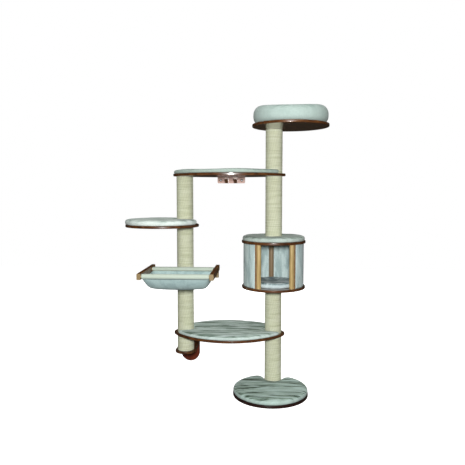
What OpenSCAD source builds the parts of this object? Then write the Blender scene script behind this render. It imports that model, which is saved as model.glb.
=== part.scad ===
// Wall mounted cat tree: two sisal posts side by side, joined by two long shelves,
// with a base, a side shelf, a hammock, a round cabin and a bed on top.
// The origin is on the floor, at the middle of the base's underside. X runs to the right,
// Y towards the wall and Z up. All lengths are millimetres, all turns are degrees.

/* [Posts] */
// Outside diameter of a post over its rope
post_d = 120; // [100:1:140]
// Thickness of the sisal rope wound on a post
rope_d = 6; // [4:0.5:9]
// Wall of the tube inside a post
tube_wall = 8; // [5:0.5:14]
// Thickness of the wooden plug in each end of a tube
plug_t = 25; // [22:1:40]
// Distance between the axes of the two posts
post_span = 635; // [560:1:720]

/* [Boards] */
// Thickness of every lacquered board
board_t = 18; // [16:0.5:24]
// Rounding of a board's edge
edge_r = 4; // [1:0.5:6]
// Diameter of the base, of the side shelf and of the bed board
disc_d = 516; // [460:1:580]
// Depth of the two long shelves, from the wall to their front
leaf_depth = 513; // [460:1:560]
// Reach of a long shelf's tip beyond the axis of its post
tip_reach = 82; // [74:1:100]

/* [Levels] */
// Height of the foot bracket's board above the floor
foot_board_z = 232; // [215:1:250]
// Height of the lower long shelf's underside above the floor
lower_shelf_z = 368; // [340:1:420]
// Height of the cabin floor's underside above the floor
cabin_z = 713; // [640:1:760]
// Clear height inside the cabin
cabin_clear = 305; // [260:1:340]
// Height of the side shelf's underside above the floor
side_shelf_z = 1151; // [1080:1:1240]
// Height of the upper long shelf's underside above the floor
upper_shelf_z = 1507; // [1440:1:1600]
// Length of the post section between the upper long shelf and the bed board
bed_post_len = 305; // [240:1:400]

/* [Offsets of the round boards from their posts] */
// Distance from the main post to the middle of the base
base_offset = 190; // [150:1:191]
// Turn of the base about the main post, to the right
base_turn = -6; // [-30:1:30]
// Distance from the left post to the middle of the side shelf
side_offset = 166; // [140:1:190]
// Turn of the side shelf about the left post, to the right
side_turn = -66; // [-90:1:-45]
// Distance from the main post to the middle of the bed
bed_offset = 187; // [150:1:191]
// Turn of the bed about the main post, to the right
bed_turn = 35; // [0:1:60]

/* [Cabin] */
// Diameter of the cabin's floor and roof
cabin_d = 453; // [430:1:500]
// Diameter of a cabin pillar
pillar_d = 34; // [30:1:38]
// Distance from the cabin's axis to the axis of a pillar
pillar_ring_r = 193; // [185:1:200]
// Thickness of the bent board inside a wall panel
panel_t = 4; // [3:0.5:6]
// Thickness of the plush on each side of a wall panel
plush_t = 4; // [2:0.5:6]
// Turn of the whole cabin about the main post, to the right
cabin_turn = 3.5; // [-20:0.5:20]

/* [Pads] */
// Thickness of the base pad
base_pad_t = 34; // [24:1:44]
// Thickness of the lower long shelf's pad
lower_pad_t = 26; // [18:1:36]
// Thickness of the upper long shelf's pad
upper_pad_t = 24; // [18:1:36]
// Thickness of the side shelf's pad
side_pad_t = 35; // [24:1:46]
// Thickness of the cabin roof's pad
roof_pad_t = 34; // [24:1:42]
// Thickness of the cushion inside the cabin
cabin_cushion_t = 36; // [26:1:46]
// Rise of a pad's middle over its edge
crown = 4; // [1:0.5:8]
// Gap between a pad and the post that it goes round
pad_gap = 5; // [3:0.5:10]
// How far the base pad bulges over its board's rim
base_pad_over = 7; // [0:0.5:10]
// How far the other pads bulge over the front of their boards
pad_over = 6; // [0:0.5:10]

/* [Bed] */
// Height of the plush ring of the bed
ring_h = 103; // [90:1:130]
// Width of the plush ring of the bed, seen from above
ring_w = 106; // [96:1:124]
// How far the plush ring stands back from the bed board's rim
ring_back = 6; // [0:1:14]
// Thickness of the cushion inside the plush ring
bed_cushion_t = 42; // [30:1:60]

/* [Hammock] */
// Distance between the middles of the two hammock rails
rail_gap = 470; // [430:1:520]
// Length of a hammock rail
rail_len = 461; // [420:1:500]
// How far the rails run on to the wall past the bar that carries them
rail_back = 60; // [40:1:80]
// Width of a hammock rail
rail_w = 26; // [22:1:34]
// Height of a hammock rail
rail_h = 40; // [34:1:50]
// Height of the rails' underside above the floor
rail_z = 832; // [780:1:900]
// Diameter of the two dowels that carry the sling
dowel_d = 22; // [18:1:24]
// Thickness of the plush sling
sling_t = 6; // [4:0.5:8]
// Depth of the sling under its dowels
sling_sag = 92; // [60:1:110]

/* [Wall brackets] */
// Width of the upper wall plate
upper_plate_w = 208; // [190:1:240]
// Height of the upper wall plate
upper_plate_h = 45; // [38:1:60]
// Thickness of the wall plates
plate_t = 18; // [14:0.5:22]
// Distance between the two screw holes of the upper wall plate
upper_hole_gap = 159; // [140:1:170]
// Width of the foot wall plate and of the foot board
foot_plate_w = 142; // [134:1:160]
// Height of the foot wall plate above its board
foot_plate_rise = 72; // [60:1:80]
// Drop of the foot wall plate below its board
foot_plate_drop = 146; // [110:1:160]
// Distance between the two screw holes of the foot wall plate
foot_hole_gap = 90; // [70:1:100]
// Diameter of the wall screws' holes
wall_hole_d = 8; // [6:0.5:10]

/* [Hidden] */
$fn = 96;

// Overrun of a cut past the face it opens
over = 1;
// Gap between rigid round faces that fit in each other
fit_gap = 0.1;
// Gap between a soft piece and its neighbours
soft_gap = 0.3;
// Step between the wide arcs of a long shelf and the round of its tip
tip_ease = 0.02;

// Lacquer, wood, plush, rope, board and metal colours
lacquer = [0.24, 0.11, 0.07];
golden_wood = [0.76, 0.62, 0.38];
raw_wood = [0.80, 0.68, 0.50];
plush = [0.78, 0.85, 0.82];
pale_plush = [0.86, 0.90, 0.88];
sisal = [0.76, 0.77, 0.60];
card = [0.62, 0.50, 0.36];
steel = [0.72, 0.73, 0.75];

// Metric joining hardware: rod, insert, bolt head and washer
rod_r = 5;
rod_hole_r = 5.5;
insert_r = 7;
insert_len = 20;
rod_grip = 17;
bolt_head_r = 9;
bolt_head_h = 5.5;
washer_r = 15;
washer_t = 2;
recess_r = 16;
recess_depth = 8;

// Wood screws: shank, countersunk head and lengths
screw_r = 2;
screw_head_r = 4.2;
screw_head_h = 2.6;
screw_len = 40;
long_screw_r = 3;
long_screw_head_r = 6;
long_screw_head_h = 3.6;
post_screw_len = 75;

// Posts
post_r = post_d / 2;
tube_r = post_r - rope_d;
tube_in_r = tube_r - tube_wall;
function around(distance, turn) = [distance * sin(turn), -distance * cos(turn)];
base_c = [0, 0];
main_axis = base_c - around(base_offset, base_turn);
left_axis = main_axis - [post_span, 0];
wall_y = main_axis.y + leaf_depth / 2;
foot_top = foot_board_z + board_t;
bed_z = upper_shelf_z + board_t + bed_post_len;
cabin_floor_z = cabin_z + board_t;
cabin_roof_z = cabin_floor_z + cabin_clear;
main_sections = [
    [board_t, lower_shelf_z],
    [lower_shelf_z + board_t, cabin_z],
    [cabin_roof_z + board_t, upper_shelf_z],
    [upper_shelf_z + board_t, bed_z]
];
left_sections = [
    [foot_top, lower_shelf_z],
    [lower_shelf_z + board_t, side_shelf_z],
    [side_shelf_z + board_t, upper_shelf_z]
];

// Places of the round boards
disc_r = disc_d / 2;
cabin_r = cabin_d / 2;
side_c = left_axis + around(side_offset, side_turn);
bed_c = main_axis + around(bed_offset, bed_turn);

// A long shelf is a leaf: two wide arcs, and a small arc round each post where they meet
half_span = post_span / 2;
leaf_c = main_axis - [half_span, 0];
leaf_core = leaf_depth / 2 - tip_reach;
bow = (half_span * half_span - leaf_core * leaf_core) / (2 * leaf_core);
bow_r = leaf_depth / 2 + bow;
swing = atan2(half_span, bow);
tip_start = bow_r * sin(swing);

// Distance from the leaf's middle to its outline, along the direction of angle a
function bow_reach(a, inset) =
    sqrt(pow(bow_r - inset, 2) - pow(bow * cos(a), 2)) - bow * abs(sin(a));
function tip_reach_at(a, inset) =
    half_span * abs(cos(a)) + sqrt(max(0, pow(tip_reach - inset, 2) - pow(half_span * sin(a), 2)));
function leaf_reach(a, inset) =
    bow_reach(a, inset) * abs(cos(a)) > tip_start
        ? min(bow_reach(a, inset), tip_reach_at(a, inset))
        : bow_reach(a, inset);

// Distance from a pad's middle to the near side of the cut-out round a post, which is d away
function cut_reach(a, d, r) = d * cos(a) - sqrt(max(0, r * r - pow(d * sin(a), 2)));
function cut_half(d, r) = asin(r / d);

// Outline of a pad from its middle, with one cut-out that opens away from the middle.
// rim_steps points lie on the rim and cut_steps on the cut-out.
function reach_point(reach, a) = [reach * cos(a), reach * sin(a)];
function disc_pad_outline(r, d, dir, cut_r, rim_steps, cut_steps) =
    let (open = cut_half(d, cut_r))
    concat(
        [for (i = [0 : rim_steps])
            let (a = dir + open + i * (360 - 2 * open) / rim_steps)
            reach_point(r, a)],
        [for (i = [0 : cut_steps])
            let (s = -open + i * 2 * open / cut_steps)
            reach_point(cut_reach(s, d, cut_r), dir + s)]
    );

// Reach of a leaf pad, which bulges over the front of its shelf and keeps off the wall
function leaf_pad_reach(a) =
    leaf_reach(a, over - (pad_over + over) * (1 - sin(a)) / 2);

// Outline of a leaf pad; cut_left is true where the left tip is cut out round a post as well
function leaf_pad_outline(cut_r, cut_left, rim_steps, cut_steps) =
    let (open = cut_half(half_span, cut_r), last = cut_left ? 180 - open : 180)
    concat(
        [for (i = [0 : cut_steps])
            let (s = -open + i * 2 * open / cut_steps)
            reach_point(cut_reach(s, half_span, cut_r), s)],
        [for (i = [0 : rim_steps])
            let (a = open + i * (last - open) / rim_steps)
            reach_point(leaf_pad_reach(a), a)],
        cut_left
            ? [for (i = [0 : cut_steps])
                let (s = open - i * 2 * open / cut_steps)
                reach_point(cut_reach(s, half_span, cut_r), 180 - s)]
            : [],
        [for (i = [cut_left ? 0 : 1 : rim_steps])
            let (a = 360 - last + i * (last - open) / rim_steps)
            reach_point(leaf_pad_reach(a), a)]
    );

// Outward direction of a closed outline at its point i
function outward(pts, i) =
    let (n = len(pts), t = pts[(i + 1) % n] - pts[(i + n - 1) % n])
    [t.y, -t.x] / norm(t);

// A stuffed pad on an outline: drawn in at its foot and its shoulder, crowned in the middle.
// Shares give the inset of each ring as a share of the thickness, and its height likewise.
pad_top_share = 0.5;
pad_ring_shares = [[0.16, 0], [0.02, 0.2], [0, 0.5], [0.06, 0.76], [0.22, 0.93], [pad_top_share, 1]];
pad_crown_shares = [[0.78, 0.6], [0.4, 1]];
module stuffed_pad(pts, t) {
    n = len(pts);
    rings = concat(
        [for (s = pad_ring_shares)
            [for (i = [0 : n - 1])
                let (p = pts[i] - outward(pts, i) * s[0] * t)
                [p.x, p.y, s[1] * t]]],
        [for (s = pad_crown_shares)
            [for (i = [0 : n - 1])
                let (p = (pts[i] - outward(pts, i) * pad_top_share * t) * s[0])
                [p.x, p.y, t + s[1] * crown]]]
    );
    m = len(rings);
    points = concat([for (ring = rings) each ring], [[0, 0, 0], [0, 0, t + crown]]);
    sides = [for (k = [0 : m - 2], i = [0 : n - 1])
        let (j = (i + 1) % n, a = k * n + i, b = k * n + j)
        each [[a, a + n, b + n], [a, b + n, b]]];
    bottom = [for (i = [0 : n - 1]) [m * n, i, (i + 1) % n]];
    top = [for (i = [0 : n - 1]) [m * n + 1, (m - 1) * n + (i + 1) % n, (m - 1) * n + i]];
    polyhedron(points = points, faces = concat(sides, bottom, top), convexity = 6);
}

// A rectangle with a large rounding at its top corners and a small one at its bottom corners
module cushion_profile(w, h, top_r, foot_r) {
    translate([foot_r, 0]) square([w - 2 * foot_r, h - top_r]);
    translate([0, foot_r]) square([w, h - top_r - foot_r]);
    translate([top_r, foot_r]) square([w - 2 * top_r, h - foot_r]);
    for (x = [foot_r, w - foot_r]) translate([x, foot_r]) circle(foot_r);
    for (x = [top_r, w - top_r]) translate([x, h - top_r]) circle(top_r);
}

// Board solids with rounded edges
module rim_profile(r) {
    translate([r - edge_r, edge_r]) intersection() {
        union() {
            circle(edge_r);
            translate([0, board_t - 2 * edge_r]) circle(edge_r);
            square([edge_r, board_t - 2 * edge_r]);
        }
        translate([0, -edge_r]) square([edge_r, board_t]);
    }
}

module round_board(r) {
    rotate_extrude($fn = 180) {
        square([r - edge_r, board_t]);
        rim_profile(r);
    }
}

module leaf_board() {
    far = tip_reach + over;
    out = half_span + far * sin(swing);
    side = far * cos(swing);
    translate([leaf_c.x, leaf_c.y, 0]) {
        intersection() {
            translate([0, -bow, 0]) round_board(bow_r);
            translate([0, bow, 0]) round_board(bow_r);
            translate([0, 0, -over]) linear_extrude(board_t + 2 * over)
                polygon([[half_span, 0], [out, side], [out, leaf_depth], [-out, leaf_depth],
                         [-out, side], [-half_span, 0], [-out, -side], [-out, -leaf_depth],
                         [out, -leaf_depth], [out, -side]]);
        }
        for (s = [-1, 1]) translate([s * half_span, 0, 0]) round_board(tip_reach - tip_ease);
    }
}

// Joining hardware and the cuts that it needs, standing on z = 0
module rod_hole(at) {
    translate([at.x, at.y, -over]) cylinder(r = rod_hole_r, h = board_t + 2 * over);
}

module recess_top(at) {
    translate([at.x, at.y, board_t - recess_depth]) cylinder(r = recess_r, h = recess_depth + over);
}

module recess_foot(at) {
    translate([at.x, at.y, -over]) cylinder(r = recess_r, h = recess_depth + over);
}

// A bolt whose washer lies on z = 0, with its rod going down
module bolt() {
    translate([0, 0, washer_t]) cylinder(r = bolt_head_r, h = bolt_head_h);
    translate([0, 0, recess_depth - board_t - rod_grip])
        cylinder(r = rod_r, h = board_t - recess_depth + rod_grip + washer_t);
}

module washer() {
    difference() {
        cylinder(r = washer_r, h = washer_t);
        translate([0, 0, -over]) cylinder(r = rod_hole_r, h = washer_t + 2 * over);
    }
}

// Places of the bolts: post, height of the recess's floor and 1 for a head above it, -1 below
bolt_places = [
    [main_axis, recess_depth, -1],
    [main_axis, cabin_floor_z - recess_depth, 1],
    [main_axis, cabin_roof_z + recess_depth, -1],
    [main_axis, bed_z + board_t - recess_depth, 1],
    [left_axis, foot_board_z + recess_depth, -1],
    [left_axis, upper_shelf_z + board_t - recess_depth, 1]
];
module at_bolts() {
    for (b = bolt_places)
        translate([b[0].x, b[0].y, b[1]]) rotate([b[2] > 0 ? 0 : 180, 0, 0]) children();
}

// A countersunk wood screw whose head lies flush with z = 0, going down
module screw(length, r, head_r, head_h, gap) {
    translate([0, 0, -length]) cylinder(r = r + gap, h = length);
    translate([0, 0, -head_h]) cylinder(r1 = r + gap, r2 = head_r + gap, h = head_h);
    if (gap > 0) cylinder(r = head_r + gap, h = over);
}

module short_screw(gap = 0) {
    screw(screw_len, screw_r, screw_head_r, screw_head_h, gap);
}

module long_screw(gap = 0) {
    screw(post_screw_len, long_screw_r, long_screw_head_r, long_screw_head_h, gap);
}

// A post section is a tube with a plug and a threaded insert in each end, wound with rope
module post_tube(axis, section) {
    color(card) translate([axis.x, axis.y, section[0]]) difference() {
        cylinder(r = tube_r - fit_gap, h = section[1] - section[0]);
        translate([0, 0, -over]) cylinder(r = tube_in_r, h = section[1] - section[0] + 2 * over);
    }
}

module post_sisal(axis, section) {
    color(sisal) translate([axis.x, axis.y, section[0]]) difference() {
        cylinder(r = post_r, h = section[1] - section[0]);
        translate([0, 0, -over]) cylinder(r = tube_r, h = section[1] - section[0] + 2 * over);
    }
}

module at_post_ends() {
    for (s = main_sections) {
        translate([main_axis.x, main_axis.y, s[0]]) children();
        translate([main_axis.x, main_axis.y, s[1]]) rotate([180, 0, 0]) children();
    }
    for (s = left_sections) {
        translate([left_axis.x, left_axis.y, s[0]]) children();
        translate([left_axis.x, left_axis.y, s[1]]) rotate([180, 0, 0]) children();
    }
}

module post_end_plugs() {
    color(raw_wood) at_post_ends() difference() {
        cylinder(r = tube_in_r - fit_gap, h = plug_t);
        translate([0, 0, -over]) cylinder(r = insert_r, h = plug_t + 2 * over);
    }
}

module threaded_inserts() {
    color(steel) at_post_ends() difference() {
        cylinder(r = insert_r - fit_gap, h = insert_len);
        translate([0, 0, -over]) cylinder(r = rod_r + fit_gap, h = insert_len + 2 * over);
    }
}

stud_places = [
    [main_axis, lower_shelf_z],
    [main_axis, upper_shelf_z],
    [left_axis, lower_shelf_z],
    [left_axis, side_shelf_z]
];
module joining_studs() {
    color(steel) for (s = stud_places)
        translate([s[0].x, s[0].y, s[1] - rod_grip]) cylinder(r = rod_r, h = board_t + 2 * rod_grip);
}

module connector_bolts() {
    color(steel) at_bolts() bolt();
}

module bolt_washers() {
    color(steel) at_bolts() washer();
}

// Boards
module base_board() {
    color(lacquer) difference() {
        translate([base_c.x, base_c.y, 0]) round_board(disc_r);
        rod_hole(main_axis);
        recess_foot(main_axis);
    }
}

module lower_shelf_board() {
    color(lacquer) translate([0, 0, lower_shelf_z]) difference() {
        leaf_board();
        rod_hole(main_axis);
        rod_hole(left_axis);
    }
}

module upper_shelf_board() {
    color(lacquer) difference() {
        translate([0, 0, upper_shelf_z]) difference() {
            leaf_board();
            rod_hole(main_axis);
            rod_hole(left_axis);
            recess_top(left_axis);
        }
        at_rib_shelf_screws() short_screw(fit_gap);
    }
}

module side_shelf_board() {
    color(lacquer) translate([0, 0, side_shelf_z]) difference() {
        translate([side_c.x, side_c.y, 0]) round_board(disc_r);
        rod_hole(left_axis);
    }
}

module bed_board() {
    color(lacquer) translate([0, 0, bed_z]) difference() {
        translate([bed_c.x, bed_c.y, 0]) round_board(disc_r);
        rod_hole(main_axis);
        recess_top(main_axis);
    }
}

// Pads
base_pad_r = disc_r + base_pad_over;
side_pad_r = disc_r + pad_over / 3;
cut_r = post_r + pad_gap;
disc_rim_steps = 56;
disc_cut_steps = 12;
leaf_rim_steps = 26;
leaf_cut_steps = 8;
module disc_pad(c, axis, r, t) {
    to_post = axis - c;
    translate([c.x, c.y, 0])
        stuffed_pad(disc_pad_outline(r, norm(to_post), atan2(to_post.y, to_post.x), cut_r,
                                     disc_rim_steps, disc_cut_steps), t);
}

module base_pad() {
    color(plush) translate([0, 0, board_t + soft_gap])
        disc_pad(base_c, main_axis, base_pad_r, base_pad_t);
}

module side_shelf_pad() {
    color(plush) translate([0, 0, side_shelf_z + board_t + soft_gap])
        disc_pad(side_c + around(pad_over, side_turn), left_axis, side_pad_r, side_pad_t);
}

module lower_shelf_pad() {
    color(plush) translate([leaf_c.x, leaf_c.y, lower_shelf_z + board_t + soft_gap])
        stuffed_pad(leaf_pad_outline(cut_r, true, leaf_rim_steps, leaf_cut_steps), lower_pad_t);
}

module upper_shelf_pad() {
    color(pale_plush) translate([leaf_c.x, leaf_c.y, upper_shelf_z + board_t + soft_gap])
        stuffed_pad(leaf_pad_outline(cut_r, false, leaf_rim_steps, leaf_cut_steps), upper_pad_t);
}

// Cabin: pillars stand at fifths of a turn, with the door between the first and the last
pillar_r = pillar_d / 2;
pillar_count = 5;
pillar_step = 360 / pillar_count;
function pillar_turn(i) = cabin_turn + pillar_step * (i + 0.5);
function pillar_at(i) = main_axis + around(pillar_ring_r, pillar_turn(i));
panel_out_r = pillar_ring_r + pillar_r;
panel_r = panel_out_r - panel_t;
groove_web_share = 0.3;
groove_turn = asin(pillar_r * groove_web_share / panel_r);
pillar_side_turn = asin(pillar_r / pillar_ring_r);
groove_play_turn = asin(fit_gap / panel_r);
plush_play_turn = asin(2 * soft_gap / pillar_ring_r);

// A ring sector that starts at one turn and sweeps to another, standing on the cabin floor
module wall_sector(in_r, out_r, from_turn, to_turn, h) {
    translate([main_axis.x, main_axis.y, cabin_floor_z])
        rotate([0, 0, from_turn - 90])
        rotate_extrude(angle = to_turn - from_turn, $fn = 180)
        translate([in_r, 0]) square([out_r - in_r, h]);
}

module at_pillar_screws(i) {
    p = pillar_at(i);
    translate([p.x, p.y, cabin_roof_z + board_t]) children();
    translate([p.x, p.y, cabin_z]) rotate([180, 0, 0]) children();
}

// The rebate in a pillar that takes the edge of a bent panel
module rebate(from_turn, to_turn) {
    translate([0, 0, -over])
        wall_sector(panel_r - fit_gap, panel_out_r + over, from_turn, to_turn,
                    cabin_clear + 2 * over);
}

module cabin_pillar(i, rebate_back, rebate_on) {
    p = pillar_at(i);
    turn = pillar_turn(i);
    color(golden_wood) difference() {
        translate([p.x, p.y, cabin_floor_z]) rotate([0, 0, turn + 90])
            cylinder(r = pillar_r, h = cabin_clear);
        if (rebate_back) rebate(turn - 2 * pillar_side_turn, turn - groove_turn);
        if (rebate_on) rebate(turn + groove_turn, turn + 2 * pillar_side_turn);
        at_pillar_screws(i) short_screw(fit_gap);
    }
}

module cabin_panel(i) {
    play = groove_turn + groove_play_turn;
    color(card) wall_sector(panel_r, panel_out_r, pillar_turn(i) + play,
                            pillar_turn(i + 1) - play, cabin_clear);
}

module cabin_plush(i) {
    side = pillar_side_turn + plush_play_turn;
    color(plush) translate([0, 0, soft_gap]) {
        wall_sector(panel_r - soft_gap - plush_t, panel_r - soft_gap,
                    pillar_turn(i) + side, pillar_turn(i + 1) - side, cabin_clear - 2 * soft_gap);
        wall_sector(panel_out_r + soft_gap, panel_out_r + soft_gap + plush_t,
                    pillar_turn(i) + side, pillar_turn(i + 1) - side, cabin_clear - 2 * soft_gap);
    }
}

module cabin_screws() {
    color(steel) for (i = [0 : pillar_count - 1]) at_pillar_screws(i) short_screw();
}

module cabin_floor_board() {
    color(lacquer) difference() {
        translate([main_axis.x, main_axis.y, cabin_z]) difference() {
            round_board(cabin_r);
            rod_hole([0, 0]);
            recess_top([0, 0]);
        }
        for (i = [0 : pillar_count - 1]) at_pillar_screws(i) short_screw(fit_gap);
    }
}

module cabin_roof_board() {
    color(lacquer) difference() {
        translate([main_axis.x, main_axis.y, cabin_roof_z]) difference() {
            round_board(cabin_r);
            rod_hole([0, 0]);
            recess_foot([0, 0]);
        }
        for (i = [0 : pillar_count - 1]) at_pillar_screws(i) short_screw(fit_gap);
    }
}

// The roof pad is a ring round the post, rounded more at its shoulder than at its foot
roof_pad_in = 1;
shoulder_share = 0.45;
foot_share = 0.18;
module cabin_roof_pad() {
    ring_width = cabin_r - roof_pad_in - post_r - soft_gap;
    color(plush) translate([main_axis.x, main_axis.y, cabin_roof_z + board_t + soft_gap])
        rotate_extrude($fn = 144) translate([post_r + soft_gap, 0])
        cushion_profile(ring_width, roof_pad_t, roof_pad_t * shoulder_share, roof_pad_t * foot_share);
}

// The cabin's cushion has a raised rim and a shallow dish
dish_share = 0.25;
module cabin_cushion() {
    r = pillar_ring_r - pillar_r - soft_gap;
    dish = cabin_cushion_t * dish_share;
    dish_r = r - cabin_cushion_t * shoulder_share;
    ball_r = (dish_r * dish_r + dish * dish) / (2 * dish);
    color(pale_plush) translate([main_axis.x, main_axis.y, cabin_floor_z + soft_gap])
        rotate_extrude($fn = 144) difference() {
            intersection() {
                translate([-r, 0]) cushion_profile(2 * r, cabin_cushion_t,
                                                   cabin_cushion_t * shoulder_share,
                                                   cabin_cushion_t * foot_share);
                square([r, cabin_cushion_t]);
            }
            translate([0, cabin_cushion_t - dish + ball_r]) circle(ball_r, $fn = 360);
        }
}

// Bed: a plush ring with a cushion inside it
ring_out_r = disc_r - ring_back;
ring_in_r = ring_out_r - ring_w;
ring_top_share = 0.49;
ring_foot_share = 0.16;
module bed_ring() {
    color(pale_plush) translate([bed_c.x, bed_c.y, bed_z + board_t + soft_gap])
        rotate_extrude($fn = 144) translate([ring_in_r, 0])
        cushion_profile(ring_w, ring_h, ring_h * ring_top_share, ring_h * ring_foot_share);
}

module bed_cushion() {
    r = ring_in_r - soft_gap;
    color(pale_plush) translate([bed_c.x, bed_c.y, bed_z + board_t + soft_gap])
        rotate_extrude($fn = 144) intersection() {
            translate([-r, 0]) cushion_profile(2 * r, bed_cushion_t, bed_cushion_t * shoulder_share,
                                               bed_cushion_t * foot_share);
            square([r, bed_cushion_t]);
        }
}

// Hammock: two rails on a bar that is hollowed to fit the post, and two dowels for the sling
rail_in = rail_gap / 2 - rail_w / 2;
rear_bar_t = rail_w + rope_d;
saddle_depth = rope_d;
bar_rear_y = -post_r + saddle_depth;
bar_z = rail_z - rail_h;
rail_rear_y = bar_rear_y + rail_back;
rail_front_y = rail_rear_y - rail_len;
dowel_r = dowel_d / 2;
roll_r = dowel_r + sling_t;
dowel_z = rail_z + rail_h / 2 + over;
front_dowel_y = rail_front_y + roll_r;
rear_dowel_y = bar_rear_y - rear_bar_t - roll_r - 2 * soft_gap;
dowel_half = rail_in + rail_w;

module at_dowels() {
    for (y = [front_dowel_y, rear_dowel_y])
        translate([left_axis.x, left_axis.y + y, dowel_z]) children();
}

// The rails are screwed to the bar from below
module at_bar_screws() {
    for (s = [-1, 1])
        translate([left_axis.x + s * (rail_in + rail_w / 2),
                   left_axis.y + bar_rear_y - rear_bar_t / 2, bar_z])
        rotate([180, 0, 0]) children();
}

bar_screw_share = 0.25;
module at_post_screws() {
    for (u = [-1, 1])
        translate([left_axis.x, left_axis.y + bar_rear_y - rear_bar_t,
                   bar_z + rail_h / 2 + u * rail_h * bar_screw_share])
        rotate([90, 0, 0]) children();
}

rail_edge = 3;
module rail_profile() {
    translate([rail_edge, 0]) square([rail_w - 2 * rail_edge, rail_h]);
    translate([0, rail_edge]) square([rail_w, rail_h - 2 * rail_edge]);
    for (x = [rail_edge, rail_w - rail_edge], y = [rail_edge, rail_h - rail_edge])
        translate([x, y]) circle(rail_edge);
}

module hammock_rail(side) {
    color(lacquer) difference() {
        translate([left_axis.x + side * (rail_in + rail_w / 2) - rail_w / 2,
                   left_axis.y + rail_rear_y, rail_z])
            rotate([90, 0, 0]) linear_extrude(rail_len) rail_profile();
        at_dowels() rotate([0, side * 90, 0])
            cylinder(r = dowel_r + fit_gap, h = dowel_half + over);
        at_bar_screws() long_screw(fit_gap);
    }
}

module hammock_left_rail() {
    hammock_rail(-1);
}

module hammock_right_rail() {
    hammock_rail(1);
}

module hammock_dowels() {
    color(golden_wood) at_dowels() rotate([0, 90, 0])
        cylinder(r = dowel_r, h = 2 * dowel_half, center = true);
}

module hammock_rear_bar() {
    color(lacquer) difference() {
        translate([left_axis.x - dowel_half, left_axis.y + bar_rear_y - rear_bar_t, bar_z])
            cube([2 * dowel_half, rear_bar_t, rail_h]);
        translate([left_axis.x, left_axis.y, bar_z - over])
            cylinder(r = post_r + fit_gap, h = rail_h + 2 * over);
        at_bar_screws() long_screw(fit_gap);
        at_post_screws() long_screw(fit_gap);
    }
}

// The left post's middle section is drilled for the two long screws of the hammock
module left_post_tube_2() {
    color(card) difference() {
        post_tube(left_axis, left_sections[1]);
        at_post_screws() long_screw(fit_gap);
    }
}

module left_post_sisal_2() {
    color(sisal) difference() {
        post_sisal(left_axis, left_sections[1]);
        at_post_screws() long_screw(fit_gap);
    }
}

module hammock_post_block() {
    color(raw_wood) difference() {
        translate([left_axis.x, left_axis.y, bar_z]) cylinder(r = tube_in_r - fit_gap, h = rail_h);
        at_post_screws() long_screw(fit_gap);
    }
}

module hammock_screws() {
    color(steel) {
        at_bar_screws() long_screw();
        at_post_screws() long_screw();
    }
}

// The sling hangs between the dowels as a trough with steep ends that are drawn up to the rails
sling_steps = 20;
sling_round_share = 0.12;
sling_end_share = 0.83;
sling_end_power = 14;
sling_run_power = 3.5;
sling_probe = 0.01;
function sling_drop(u, v) =
    sling_sag * (1 - pow(abs(2 * v - 1), sling_run_power))
        * (1 - sling_round_share * u * u - sling_end_share * pow(abs(u), sling_end_power));
function sling_point(u, v) = [
    u * (rail_in - soft_gap - sling_t / 2),
    front_dowel_y + (rear_dowel_y - front_dowel_y) * v,
    dowel_z - dowel_r - sling_t / 2 - sling_drop(u, v)
];
function sling_face(u, v) =
    let (e = sling_probe,
         across = sling_point(min(1, u + e), v) - sling_point(max(-1, u - e), v),
         along = sling_point(u, min(1, v + e)) - sling_point(u, max(0, v - e)),
         n = cross(across, along))
    n / norm(n);
module sling_belly() {
    n = sling_steps;
    side = n + 1;
    sheet = [for (k = [1, -1], i = [0 : n], j = [0 : n])
        let (u = 2 * i / n - 1, v = j / n)
        sling_point(u, v) + k * sling_t / 2 * sling_face(u, v)];
    below = side * side;
    function at(i, j) = i * side + j;
    top = [for (i = [0 : n - 1], j = [0 : n - 1])
        each [[at(i, j), at(i, j + 1), at(i + 1, j + 1)], [at(i, j), at(i + 1, j + 1), at(i + 1, j)]]];
    bottom = [for (f = top) [f[2] + below, f[1] + below, f[0] + below]];
    loop = concat(
        [for (i = [0 : n - 1]) at(i, 0)],
        [for (j = [0 : n - 1]) at(n, j)],
        [for (i = [0 : n - 1]) at(n - i, n)],
        [for (j = [0 : n - 1]) at(0, n - j)]
    );
    walls = [for (q = [0 : len(loop) - 1])
        let (a = loop[q], b = loop[(q + 1) % len(loop)])
        each [[a, b, b + below], [a, b + below, a + below]]];
    translate([left_axis.x, left_axis.y, 0])
        polyhedron(points = sheet, faces = concat(top, bottom, walls), convexity = 8);
}

module hammock_sling() {
    color(plush) difference() {
        union() {
            at_dowels() rotate([0, 90, 0])
                cylinder(r = roll_r, h = 2 * (rail_in - soft_gap), center = true);
            sling_belly();
        }
        at_dowels() rotate([0, 90, 0])
            cylinder(r = dowel_r + soft_gap, h = 2 * (rail_in + over), center = true);
    }
}

// Upper wall bracket: a plate at the wall and two ribs under the shelf
plate_corner_r = 8;
sink_r = 9;
sink_depth = sink_r - wall_hole_d / 2;
rib_w = 26;
rib_gap = 68;
rib_len = 110;
rib_nose = 16;
upper_plate_z = upper_shelf_z - upper_plate_h;
upper_hole_z = upper_plate_z + upper_plate_h / 2;
foot_plate_z = foot_board_z - foot_plate_drop;
foot_hole_z = foot_top + foot_plate_rise / 2;
rib_screw_share = 0.3;

module wall_hole(x, z) {
    translate([x, wall_y + over, z]) rotate([90, 0, 0]) {
        cylinder(r = wall_hole_d / 2, h = plate_t + 2 * over);
        translate([0, 0, plate_t + over - sink_depth])
            cylinder(r1 = wall_hole_d / 2, r2 = sink_r + over, h = sink_depth + over);
    }
}

module at_rib_shelf_screws() {
    for (s = [-1, 1], u = [rib_screw_share, 1 - rib_screw_share])
        translate([leaf_c.x + s * rib_gap / 2, wall_y - plate_t - rib_len * u, upper_shelf_z + board_t])
        children();
}

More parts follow.
